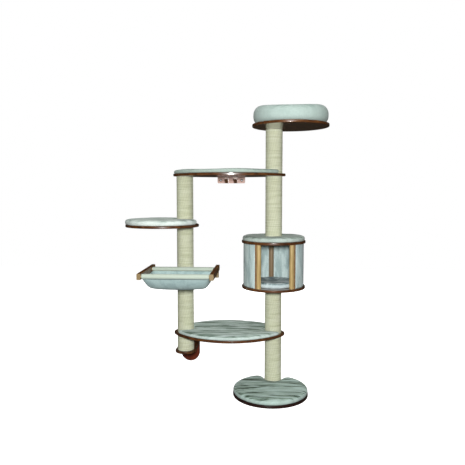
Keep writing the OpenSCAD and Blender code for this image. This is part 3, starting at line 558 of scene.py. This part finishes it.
MAIN_LEVELS = [(BOARD, LOWER_Z), (LOWER_Z + BOARD, CABIN_Z),
               (ROOF_Z + BOARD, UPPER_Z), (UPPER_Z + BOARD, BED_Z)]
LEFT_LEVELS = [(FOOT_Z + BOARD, LOWER_Z), (LOWER_Z + BOARD, SIDE_Z), (SIDE_Z + BOARD, UPPER_Z)]
for i, (low, high) in enumerate(MAIN_LEVELS, 1):
    winding(f"main_post_winding_{i}", f"main_post_sisal_{i}", MAIN, low, high)
for i, (low, high) in enumerate(LEFT_LEVELS, 1):
    winding(f"left_post_winding_{i}", f"left_post_sisal_{i}", LEFT, low, high)

# %% [markdown]
# ## Outlines of the pads
# A pad keeps the outline of its board but has a bite round each post that it meets. An
# outline is worked out as a distance from the pad's middle in each direction, then spaced
# evenly so that the plush gets even faces.
# %% Outline helpers
CUT_R = POST_R + 5 * MM


def even(points, n, soften):
    """n points evenly spaced along a closed outline, its corners softened by averaging."""
    closed = np.vstack([points, points[:1]])
    run = np.append(0, np.cumsum(np.linalg.norm(np.diff(closed, axis=0), axis=1)))
    at = np.linspace(0, run[-1], n, endpoint=False)
    out = np.stack([np.interp(at, run, closed[:, k]) for k in (0, 1)], -1)
    for _ in range(soften):
        out = (np.roll(out, 1, 0) + 2 * out + np.roll(out, -1, 0)) / 4
    return out


def polar(reach, a):
    """Points at a distance and an angle from the middle."""
    return np.stack([reach * np.cos(a), reach * np.sin(a)], -1)


def bite(d, n=60):
    """Near side of a circle of radius CUT_R whose centre is d away, seen from the middle."""
    open_a = math.asin(CUT_R / d)
    s = np.linspace(-open_a, open_a, n)
    return s, d * np.cos(s) - np.sqrt(np.maximum(0, CUT_R ** 2 - (d * np.sin(s)) ** 2)), open_a


print("pads are cut", round(CUT_R, 3), "m from a post's axis")

# %% [markdown]
# ## Round pads
# The pads of the base and the side shelf are discs that end at their post. Cushions are full
# circles.
# %% Discs
def disc_outline(centre, axis, r, soften, n=300):
    """A disc of radius r with a bite towards the post's axis. The corners of the bite are
    rounded by averaging, which is kept off the post."""
    to_post = axis - centre
    d, turn = np.hypot(*to_post), math.atan2(to_post[1], to_post[0])
    s, near, open_a = bite(d)
    a = np.linspace(open_a, 2 * np.pi - open_a, n)
    out = even(np.vstack([polar(np.full(n, r), turn + a), polar(near, turn + s)]), n, soften)
    off = out - to_post
    return to_post + off * np.maximum(1, CUT_R / np.linalg.norm(off, axis=1, keepdims=True))


def round_outline(r, n=260):
    """A full circle of radius r."""
    return polar(np.full(n, r), np.linspace(0, 2 * np.pi, n, endpoint=False))


print("a full circle has", len(round_outline(DISC_R)), "points")

# %% [markdown]
# ## Leaf pads
# A long shelf is a leaf: two wide arcs that meet a small arc round each post. The arcs'
# radii follow from the span of the posts, the leaf's depth and the reach of its tips.
# %% Leaves
HALF = SPAN / 2
CORE = LEAF_DEPTH / 2 - TIP_REACH
BOW = (HALF ** 2 - CORE ** 2) / (2 * CORE)
BOW_R = LEAF_DEPTH / 2 + BOW
TIP_START = BOW_R * HALF / math.hypot(HALF, BOW)


def leaf_reach(a, inset):
    """Reach of the leaf: sqrt(R^2 - (b cos a)^2) - b |sin a|, or the tip's arc if nearer."""
    wide = np.sqrt((BOW_R - inset) ** 2 - (BOW * np.cos(a)) ** 2) - BOW * np.abs(np.sin(a))
    tip = HALF * np.abs(np.cos(a)) + np.sqrt(
        np.maximum(0, (TIP_REACH - inset) ** 2 - (HALF * np.sin(a)) ** 2))
    return np.where(wide * np.abs(np.cos(a)) > TIP_START, np.minimum(wide, tip), wide)


def leaf_outline(over, both, soften, n=420, n_rim=240):
    """A leaf that bulges over the front by over and keeps 1 mm off the wall, with a bite at its
    right end, and at its left end too where both is true."""
    def rim(a):
        return leaf_reach(a, MM - (over + MM) * (1 - np.sin(a)) / 2)
    s, near, open_a = bite(HALF)
    last = np.pi - open_a if both else np.pi
    a = np.linspace(open_a, last, n_rim)
    parts = [polar(near, s), polar(rim(a), a)]
    if both:
        parts.append(polar(near, np.pi - s[::-1]))
    parts.append(polar(rim(2 * np.pi - a[::-1]), 2 * np.pi - a[::-1]))
    return even(np.vstack(parts), n, soften)


print("leaf arcs of", round(BOW_R, 3), "m")

# %% [markdown]
# ## The form of a pad
# The pads are flat bags of plush over soft foam. Their sides draw in at the foot and round
# over at the shoulder, and the top is crowned and never quite even. So a pad is built in
# rings from foot to crown. The side's profile is given in shares of the pad's thickness.
# %% Pad form
INSET_SHARES = [0.2, 0.05, 0.0, 0.04, 0.2, 0.55]
RISE_SHARES = [0.0, 0.15, 0.45, 0.74, 0.93, 1.0]


def outward(points):
    """Unit normals of a closed outline that runs anticlockwise."""
    t = np.roll(points, -1, 0) - np.roll(points, 1, 0)
    n = np.stack([t[:, 1], -t[:, 0]], -1)
    return n / np.linalg.norm(n, axis=1, keepdims=True)


def waves(x, y, seed):
    """Smooth swelling from -1 to 1: the mean of four sines of (x cos t + y sin t) size + phase,
    with seeded turns, phases and sizes. A size of 9 to 24 gives waves of 0.7 to 0.26 m."""
    rng = np.random.default_rng(seed)
    turn, phase, size = rng.uniform(0, 2 * np.pi, 4), rng.uniform(0, 6.3, 4), rng.uniform(9, 24, 4)
    across = x[..., None] * np.cos(turn) + y[..., None] * np.sin(turn)
    return np.sin(across * size + phase).sum(-1) / 4


def pad_rings(outline, thick, crown, swell, seed, n_side=16, n_crown=12):
    """Rings of a pad. A side ring is the outline moved in by inset x thick at height rise x
    thick. A crown ring is the last one times c at height thick + crown (1 - c^2), where c is a
    cosine that falls from 1 to 0. Waves of height swell are laid over all of them."""
    corners = np.arange(len(INSET_SHARES))
    k = np.linspace(0, corners[-1], n_side)
    inset, rise = np.interp(k, corners, INSET_SHARES), np.interp(k, corners, RISE_SHARES)
    normal = outward(outline)
    sides = outline[None] - normal[None] * (inset * thick)[:, None, None]
    height = np.broadcast_to((rise * thick)[:, None], sides.shape[:2])
    shrink = np.cos(np.linspace(0, np.pi / 2, n_crown + 2)[1:-1])
    tops = sides[-1][None] * shrink[:, None, None]
    dome = np.broadcast_to((thick + crown * (1 - shrink ** 2))[:, None], tops.shape[:2])
    flat = np.concatenate([sides, tops])
    z = np.concatenate([height, dome])
    z = z * (1 + swell / thick * waves(flat[..., 0], flat[..., 1], seed))
    return np.concatenate([flat, z[..., None]], -1)


print("a pad's side has", len(INSET_SHARES), "profile points")

# %% [markdown]
# ## Stuffing
# Foam under a taut skin leaves small uneven swellings that a formula doesn't give. So
# Blender's cloth blows each form up from inside. The stuffing of a real pad stops it early,
# so each point keeps only the first 2.5 to 5 mm of its way.
# %% Blow a form up
def coords(mesh):
    """The mesh's points as an (n, 3) array."""
    co = np.empty(len(mesh.vertices) * 3)
    mesh.vertices.foreach_get("co", co)
    return co.reshape(-1, 3)


def set_coords(mesh, co):
    """Move the mesh's points to those of an (n, 3) array."""
    mesh.vertices.foreach_set("co", co.ravel())
    mesh.update()


def blow_up(piece, voxel, cap, pressure=4.0, frames=20, stiff=15.0):
    """Remesh evenly, let cloth pressure swell it, and cap how far each point may move."""
    remesh = piece.modifiers.new("even_faces", "REMESH")
    remesh.mode, remesh.voxel_size, remesh.use_smooth_shade = "VOXEL", voxel, True
    depsgraph = bpy.context.evaluated_depsgraph_get()
    finish = piece.data.materials[0]
    even_mesh = bpy.data.meshes.new_from_object(piece.evaluated_get(depsgraph))
    piece.modifiers.clear()
    piece.data = even_mesh
    even_mesh.materials.clear()
    even_mesh.materials.append(finish)
    rest = coords(piece.data)
    cloth = piece.modifiers.new("stuffing", "CLOTH")
    cloth.settings.quality = 5
    cloth.settings.use_pressure = True
    cloth.settings.uniform_pressure_force = pressure
    cloth.settings.tension_stiffness = stiff
    cloth.settings.compression_stiffness = stiff
    cloth.settings.bending_stiffness = 0.5
    cloth.settings.effector_weights.gravity = 0
    for step in range(1, frames + 1):
        scene.frame_set(step)
    depsgraph = bpy.context.evaluated_depsgraph_get()
    blown = bpy.data.meshes.new_from_object(piece.evaluated_get(depsgraph))
    move = coords(blown) - rest
    far = np.linalg.norm(move, axis=1, keepdims=True)
    move *= np.minimum(1, cap / np.maximum(far, 1e-9))
    piece.modifiers.clear()
    set_coords(piece.data, rest + move)
    bpy.data.meshes.remove(blown)
    scene.frame_set(1)
    print(piece.name, "moved up to", round(float(far.max() * 1000), 1), "mm before the cap")


print("cloth will swell the pads")

# %% [markdown]
# ## Laying a pad on its board
# A pad lies flat on its board and keeps clear of the rope. Then it takes the place of the
# CAD solid that it stands in for, which is hidden, and rides on the body that it moves with.
# %% Pads on boards
def settle(piece, floor):
    """Press what swelled below the board flat on it, and smooth with one subdivision."""
    co = coords(piece.data)
    co[:, 2] = np.maximum(co[:, 2], floor)
    set_coords(piece.data, co)
    piece.data.polygons.foreach_set("use_smooth", np.full(len(piece.data.polygons), True))
    levels = piece.modifiers.new("soft_skin", "SUBSURF")
    levels.levels = levels.render_levels = 1


def clear_of_post(piece, axis, gap=1.5 * MM):
    """Push points back that came nearer to the post than the gap."""
    co = coords(piece.data)
    off = co[:, :2] - axis
    r = np.linalg.norm(off, axis=1, keepdims=True)
    co[:, :2] = axis + off / r * np.maximum(r, POST_R + gap)
    set_coords(piece.data, co)


def placed(rings, centre, level):
    """Rings moved to their centre in X and Y, and just over their board in Z."""
    return rings + np.array([*centre, level + SOFT_GAP])


def stuffed(piece, node, body, level, voxel, cap, posts):
    """Finish a pad's skin: blown up, clear of the posts, flat on its board and tied to the
    CAD model."""
    face_out(piece)
    blow_up(piece, voxel, cap)
    for axis in posts:
        clear_of_post(piece, axis)
    settle(piece, level + SOFT_GAP)
    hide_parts(node)
    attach(piece, body)
    print(piece.name, len(piece.data.polygons), "faces")


def pad(name, node, centre, level, outline, thick, crown, swell, seed, finish, posts=(),
        body="tree", voxel=6 * MM, cap=3 * MM):
    """One stuffed pad or cushion on a board, in place of its CAD solid."""
    rings = placed(pad_rings(outline, thick, crown, swell, seed), centre, level)
    piece = mesh_piece(name, *loop_skin(rings), finish)
    stuffed(piece, node, body, level, voxel, cap, posts)


print("pads lie", round(SOFT_GAP, 5), "m over their boards")

# %% [markdown]
# ## The shelf pads
# The pads of the base and the long shelves bulge 5 mm over the rims in front. The side
# pad is only 1 mm wider than its board, but it is set 6 mm outwards from its post.
# %% Base, lower, upper and side pads
OVER, SIDE_OVER, SIDE_SHIFT, CROWN = 5 * MM, 1 * MM, 6 * MM, 4 * MM
BASE = np.zeros(2)
SIDE_PAD = SIDE + around(SIDE_SHIFT, SIDE_TURN)
pad("base_pad_plush", "base_pad", BASE, BOARD,
    disc_outline(BASE, MAIN, DISC_R + OVER, soften=110), thick=33 * MM, crown=CROWN,
    swell=1.5 * MM, seed=3, finish=streaky_plush, posts=[MAIN])
pad("lower_shelf_plush", "lower_shelf_pad", LEAF, LOWER_Z + BOARD,
    leaf_outline(OVER, both=True, soften=12), thick=25 * MM, crown=CROWN,
    swell=1.5 * MM, seed=11, finish=lower_plush, posts=[MAIN, LEFT])
pad("upper_shelf_plush", "upper_shelf_pad", LEAF, UPPER_Z + BOARD,
    leaf_outline(OVER, both=False, soften=45), thick=24 * MM, crown=CROWN,
    swell=4.5 * MM, seed=5, finish=shelf_plush, posts=[MAIN])
pad("side_shelf_plush", "side_shelf_pad", SIDE_PAD, SIDE_Z + BOARD,
    disc_outline(SIDE_PAD, LEFT, DISC_R + SIDE_OVER, soften=40), thick=34 * MM, crown=CROWN,
    swell=2.5 * MM, seed=8, finish=side_plush, posts=[LEFT])

# %% [markdown]
# ## The ring pad on the cabin roof
# The roof wears a pad with a round hole for the post, so it is a ring: a side profile
# carried once round the post.
# %% Roof pad
CABIN_R = 226.5 * MM
ROOF_PAD_IN, ROOF_PAD_OUT, ROOF_PAD_T = POST_R + 4 * MM, CABIN_R - 3 * MM, 30 * MM


def ring_profile(inner, outer, height, shoulder, foot, n=56):
    """Closed rounded rectangle between two radii: each corner is a quarter circle, as wide as
    the shoulder above and as the foot below."""
    def corner(cx, cz, r, start):
        a = np.linspace(start, start + np.pi / 2, n // 4)
        return np.stack([cx + r * np.cos(a), cz + r * np.sin(a)], -1)
    return np.vstack([corner(outer - foot, foot, foot, -np.pi / 2),
                      corner(outer - shoulder, height - shoulder, shoulder, 0),
                      corner(inner + shoulder, height - shoulder, shoulder, np.pi / 2),
                      corner(inner + foot, foot, foot, np.pi)])


def ring_pad(name, node, centre, level, profile, swell, seed, finish, body, voxel, cap,
             posts=(), lift=0.0, steps=220):
    """The profile (radius, height) turned about the centre, with slow waves in its height and
    higher by lift everywhere but at the front: z (1 + lift / top (1 - max(0, -sin t)^2))."""
    t = np.linspace(0, 2 * np.pi, steps, endpoint=False)
    r = profile[:, 0][None, :]
    x, y = r * np.cos(t)[:, None], r * np.sin(t)[:, None]
    rise = lift * (1 - np.maximum(0, -np.sin(t)) ** 2)[:, None]
    z = profile[:, 1] * (1 + (swell * waves(x, y, seed) + rise) / profile[:, 1].max())
    rings = placed(np.stack([x, y, z], -1), centre, level)
    piece = mesh_piece(name, *torus_skin(rings), finish)
    stuffed(piece, node, body, level, voxel, cap, posts)


ring_pad("roof_pad_plush", "cabin_roof_pad", MAIN, ROOF_Z + BOARD,
         ring_profile(ROOF_PAD_IN, ROOF_PAD_OUT, ROOF_PAD_T, shoulder=14 * MM, foot=5 * MM),
         swell=4.5 * MM, seed=21, finish=roof_plush, body="tree", voxel=6 * MM, cap=2.5 * MM,
         posts=[MAIN])

# %% [markdown]
# ## The bed and the cabin's cushion
# The bed on top is a thick, firmly filled ring of white plush with a seat cushion inside.
# It lies loose on its board, so it rides on its own body and lifts off. Its sides and back
# stand 20 mm higher than its front. The seat and the cushion on the cabin's floor are pads
# with a full round outline whose middle is pressed down.
# %% Bed ring, seat and cabin cushion
BED_TOP = BED_Z + BOARD
RING_OUT, RING_IN, RING_H = 251 * MM, 151 * MM, 99 * MM
SEAT_R, CABIN_CUSHION_R = 141 * MM, 171 * MM
CUSHION_SWELL, CUSHION_CAP = 1.2 * MM, 4 * MM
ring_pad("bed_ring_plush", "bed_ring", BED, BED_TOP,
         ring_profile(RING_IN, RING_OUT, RING_H, shoulder=48 * MM, foot=40 * MM),
         swell=2 * MM, seed=31, finish=white_plush, body="bed", voxel=8 * MM, cap=5 * MM,
         lift=20 * MM)
pad("bed_seat_plush", "bed_cushion", BED, BED_TOP, round_outline(SEAT_R),
    thick=39 * MM, crown=-2 * MM, swell=CUSHION_SWELL, seed=41, finish=white_plush, body="bed",
    cap=CUSHION_CAP)
pad("cabin_cushion_plush", "cabin_cushion", MAIN, FLOOR_TOP,
    round_outline(CABIN_CUSHION_R), thick=33 * MM, crown=-9 * MM, swell=CUSHION_SWELL, seed=43,
    finish=shade_blotched_cushion, cap=CUSHION_CAP)

# %% [markdown]
# ## Plush on the cabin walls
# Each bent wall panel has plush glued on both of its faces. A skin is a thin curved sheet
# with rounded edges: a flat rounded bar carried round the cabin's axis. The cabin has five
# pillars, and the door takes the place of the fifth wall.
# %% Cabin wall skins
PILLAR_RING, PILLAR_R, PANEL, PLUSH = 193 * MM, 17 * MM, 4 * MM, 4 * MM
PANEL_OUT = PILLAR_RING + PILLAR_R
CABIN_TURN, PILLAR_STEP = 3.5, 72
PILLAR_PLAY, SKIN_PLAY = 0.8 * MM, 1 * MM
PILLAR_SIDE = math.degrees(math.asin((PILLAR_R + PILLAR_PLAY) / PILLAR_RING))
EDGE_ROUND, EDGE_RUN, PUFF, PUFF_R = 1.5 * MM, 4 * MM, 0.3 * MM, 0.4


def wall_skin(name, node, index, inner, outer, n_turn=90, n_rise=60, n_end=4):
    """Arc of a flat bar from pillar to pillar: x = X + r sin t, y = Y - r cos t. Each face
    draws in by EDGE_ROUND over the last EDGE_RUN at top and bottom, the bar thins to 0.45 at
    its ends, and waves of height PUFF, worked out at radius PUFF_R, run over it."""
    first = CABIN_TURN + PILLAR_STEP * (index + 0.5) + PILLAR_SIDE
    last = CABIN_TURN + PILLAR_STEP * (index + 1.5) - PILLAR_SIDE
    turn = np.radians(np.linspace(first, last, n_turn))
    low, high = FLOOR_TOP + SKIN_PLAY, ROOF_Z - SKIN_PLAY
    z = np.linspace(low, high, n_rise)
    round_in = EDGE_ROUND * np.clip(1 - np.minimum(z - low, high - z) / EDGE_RUN, 0, 1) ** 2
    mid, half = (inner + outer) / 2, (outer - inner) / 2
    section_r = np.concatenate([mid + half - round_in, (mid - half + round_in)[::-1]])
    section_z = np.concatenate([z, z[::-1]])
    puff = PUFF * waves(turn[:, None] * PUFF_R, section_z[None, :], index + 60)
    from_end = np.minimum(np.arange(n_turn), np.arange(n_turn)[::-1])
    end = np.clip(from_end / n_end, 0, 1)[:, None]
    r = mid + (section_r[None, :] - mid) * (0.45 + 0.55 * np.sqrt(end)) + puff
    rings = np.stack([MAIN[0] + r * np.sin(turn)[:, None],
                      MAIN[1] - r * np.cos(turn)[:, None],
                      np.broadcast_to(section_z, r.shape)], -1)
    piece = mesh_piece(name, *loop_skin(rings), wall_plush)
    face_out(piece)
    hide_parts(node)
    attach(piece, "tree")


for index, wall in enumerate(WALLS):
    wall_skin(f"cabin_{wall}_plush_outside", f"cabin_plush_{wall}", index,
              PANEL_OUT + SOFT_GAP, PANEL_OUT + SOFT_GAP + PLUSH)
    wall_skin(f"cabin_{wall}_plush_inside", f"cabin_plush_{wall}", index,
              PANEL_OUT - PANEL - SOFT_GAP - PLUSH, PANEL_OUT - PANEL - SOFT_GAP)
print("cabin walls covered")

# %% [markdown]
# ## The hammock
# The hammock is one sheet of lined plush. It wraps each dowel in a fat roll and hangs
# between them as a trough, with its sides drawn up to the rails.
# %% Sling
RAIL_GAP, RAIL_W, RAIL_H, RAIL_Z = 470 * MM, 26 * MM, 40 * MM, 832 * MM
RAIL_LEN, RAIL_BACK = 461 * MM, 60 * MM
DOWEL_R, SLING, SAG = 11 * MM, 6 * MM, 92 * MM
OVERRUN, SLING_WAVE = 1 * MM, 1.6 * MM
ROUND_SHARE, END_SHARE, END_POWER, RUN_POWER = 0.12, 0.83, 14, 3.5
ROLL_R = DOWEL_R + SLING
DOWEL_Z = RAIL_Z + RAIL_H / 2 + OVERRUN
BAR_REAR = ROPE - POST_R
FRONT_Y = BAR_REAR + RAIL_BACK - RAIL_LEN + ROLL_R
REAR_Y = BAR_REAR - RAIL_W - ROPE - ROLL_R - 2 * SOFT_GAP
SLING_HALF = (RAIL_GAP - RAIL_W - SLING) / 2 - SOFT_GAP


def sling_middle(n_roll=26, n_belly=90, n_across=72):
    """Middle surface of the cloth, (path, across, 3). The path is a turn over the front dowel,
    y = Y + m cos a, z = Z + m sin a, then the trough, then a turn over the rear dowel. The
    trough's drop is SAG (1 - |2v - 1|^RUN_POWER) (1 - ROUND_SHARE u^2 - END_SHARE u^END_POWER),
    v along, u across."""
    m = DOWEL_R + SLING / 2
    u = np.linspace(-1, 1, n_across)
    a = np.linspace(np.pi / 4, 3 * np.pi / 2, n_roll)
    b = np.linspace(-np.pi / 2, 1.15 * np.pi, n_roll)
    v = np.linspace(0, 1, n_belly + 2)[1:-1]
    drop = SAG * (1 - np.abs(2 * v - 1) ** RUN_POWER)
    drawn_up = 1 - ROUND_SHARE * u ** 2 - END_SHARE * u ** END_POWER
    y = np.concatenate([FRONT_Y + m * np.cos(a), FRONT_Y + (REAR_Y - FRONT_Y) * v,
                        REAR_Y + m * np.cos(b)])
    z = np.concatenate([m * np.sin(a), np.full(n_belly, -m), m * np.sin(b)])
    fall = np.concatenate([np.zeros(n_roll), drop, np.zeros(n_roll)])
    grid = np.empty((len(y), n_across, 3))
    grid[..., 0] = LEFT[0] + SLING_HALF * u
    grid[..., 1] = LEFT[1] + y[:, None]
    grid[..., 2] = DOWEL_Z + z[:, None] - fall[:, None] * drawn_up
    grid[..., 2] += SLING_WAVE * waves(grid[..., 0], grid[..., 1], 77) * (fall[:, None] > 0)
    return grid


def thick_cloth(grid, half):
    """Loops round a sheet: its middle surface moved both ways along the normal by
    half sqrt(1 - e^24), where e runs from -1 to 1 across, so the edges are round."""
    along, across = np.gradient(grid, axis=0), np.gradient(grid, axis=1)
    normal = np.cross(along, across)
    normal /= np.linalg.norm(normal, axis=2, keepdims=True)
    edge = np.linspace(-1, 1, grid.shape[1])
    h = half * np.sqrt(np.maximum(0.04, 1 - np.abs(edge) ** 24))[None, :, None]
    return np.concatenate([grid + normal * h, (grid - normal * h)[:, ::-1]], axis=1)


print("sling between", round(FRONT_Y, 3), "and", round(REAR_Y, 3))

# %% [markdown]
# ## Hanging the sling
# The skin closes over both faces of the cloth.
# %% Build the sling
PILE_PLAY = 0.2 * MM
middle = sling_middle()
cloth_loops = thick_cloth(middle, SLING / 2 - PILE_PLAY)
sling = mesh_piece("hammock_sling_cloth", *loop_skin(cloth_loops), sling_plush)
face_out(sling)
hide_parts("hammock_sling")
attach(sling, "tree")

# %% [markdown]
# ## Floor
# The tree stands on a plain pale floor. Its own glow keeps it even, and it is kept out of
# reflections and of bounced light, so that it doesn't light the tree from below.
# %% Floor
FLOOR_HALF = 6
floor_points = FLOOR_HALF * np.array([[-1, -1, 0], [1, -1, 0], [1, 1, 0], [-1, 1, 0]], float)
floor_finish = new_finish("pale_floor", {"Base Color": colour("#e8e8e8"), "Roughness": 0.9,
                                         "Emission Color": colour("#ffffff"),
                                         "Emission Strength": 0.9})[0]
floor = mesh_piece("studio_floor", floor_points, [np.array([[0, 1, 2, 3]])], floor_finish)
floor.visible_diffuse = floor.visible_glossy = False
floor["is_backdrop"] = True
print("floor of", 2 * FLOOR_HALF, "m")

# %% [markdown]
# ## A white world
# The photograph has a white background. So the camera sees a white world, while the tree gets
# only a little of its light, and its lacquer mirrors a dim, warm room instead.
# %% World
world = bpy.data.worlds.new("white_studio")
scene.world = world
world.use_nodes = True
sky = world.node_tree
sky.nodes.clear()
seen = add(sky, "ShaderNodeLightPath")
fill = add(sky, "ShaderNodeBackground", {"Color": (1, 1, 1, 1), "Strength": 0.1})
mirror = add(sky, "ShaderNodeBackground", {"Color": (1, 0.85, 0.65, 1), "Strength": 0.03})
back = add(sky, "ShaderNodeBackground", {"Color": (1, 1, 1, 1), "Strength": 1.0})
dim = add(sky, "ShaderNodeMixShader", feeds={0: seen.outputs["Is Glossy Ray"],
                                             1: fill.outputs[0], 2: mirror.outputs[0]})
both = add(sky, "ShaderNodeMixShader", feeds={0: seen.outputs["Is Camera Ray"],
                                              1: dim.outputs[0], 2: back.outputs[0]})
add(sky, "ShaderNodeOutputWorld", feeds={0: both.outputs[0]})
print("world nodes:", len(sky.nodes))

# %% [markdown]
# ## Lamps
# The photograph was taken with a flash beside the lens. A small bright lamp by the camera
# gives the same falling-off at the posts' edges and the glints on the rims. The flash also
# comes back from the ceiling and the wall, so two large soft lamps stand in for them and
# light the tops and the back.
# %% Lamps
def lamp(name, size, watts, place, turn, mirrored=False):
    """A square area lamp that the camera doesn't see: side in metres, turn in degrees. Lacquer
    mirrors it only where mirrored is true."""
    data = bpy.data.lights.new(name, "AREA")
    data.shape, data.size, data.energy = "SQUARE", size, watts
    source = bpy.data.objects.new(name, data)
    source.location = place
    source.rotation_euler = [math.radians(v) for v in turn]
    source.visible_camera = False
    source.visible_glossy = mirrored
    bpy.context.collection.objects.link(source)


FLASH_SHIFT = Vector((0.02, 0, 0.22))
lamp("flash", 0.36, 158, camera.location + FLASH_SHIFT, (84, 0, 3.5), mirrored=True)
lamp("ceiling_bounce", 6, 110, (0, 0, 5.5), (0, 0, 0))
lamp("wall_bounce", 3, 110, (-0.3, 4.5, 1.6), (-90, 0, 0))
print("lamps:", [light.name for light in bpy.data.lights])

low, high = (tuple(corner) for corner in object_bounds())
print("visual box:", [round(v, 4) for v in low + high])
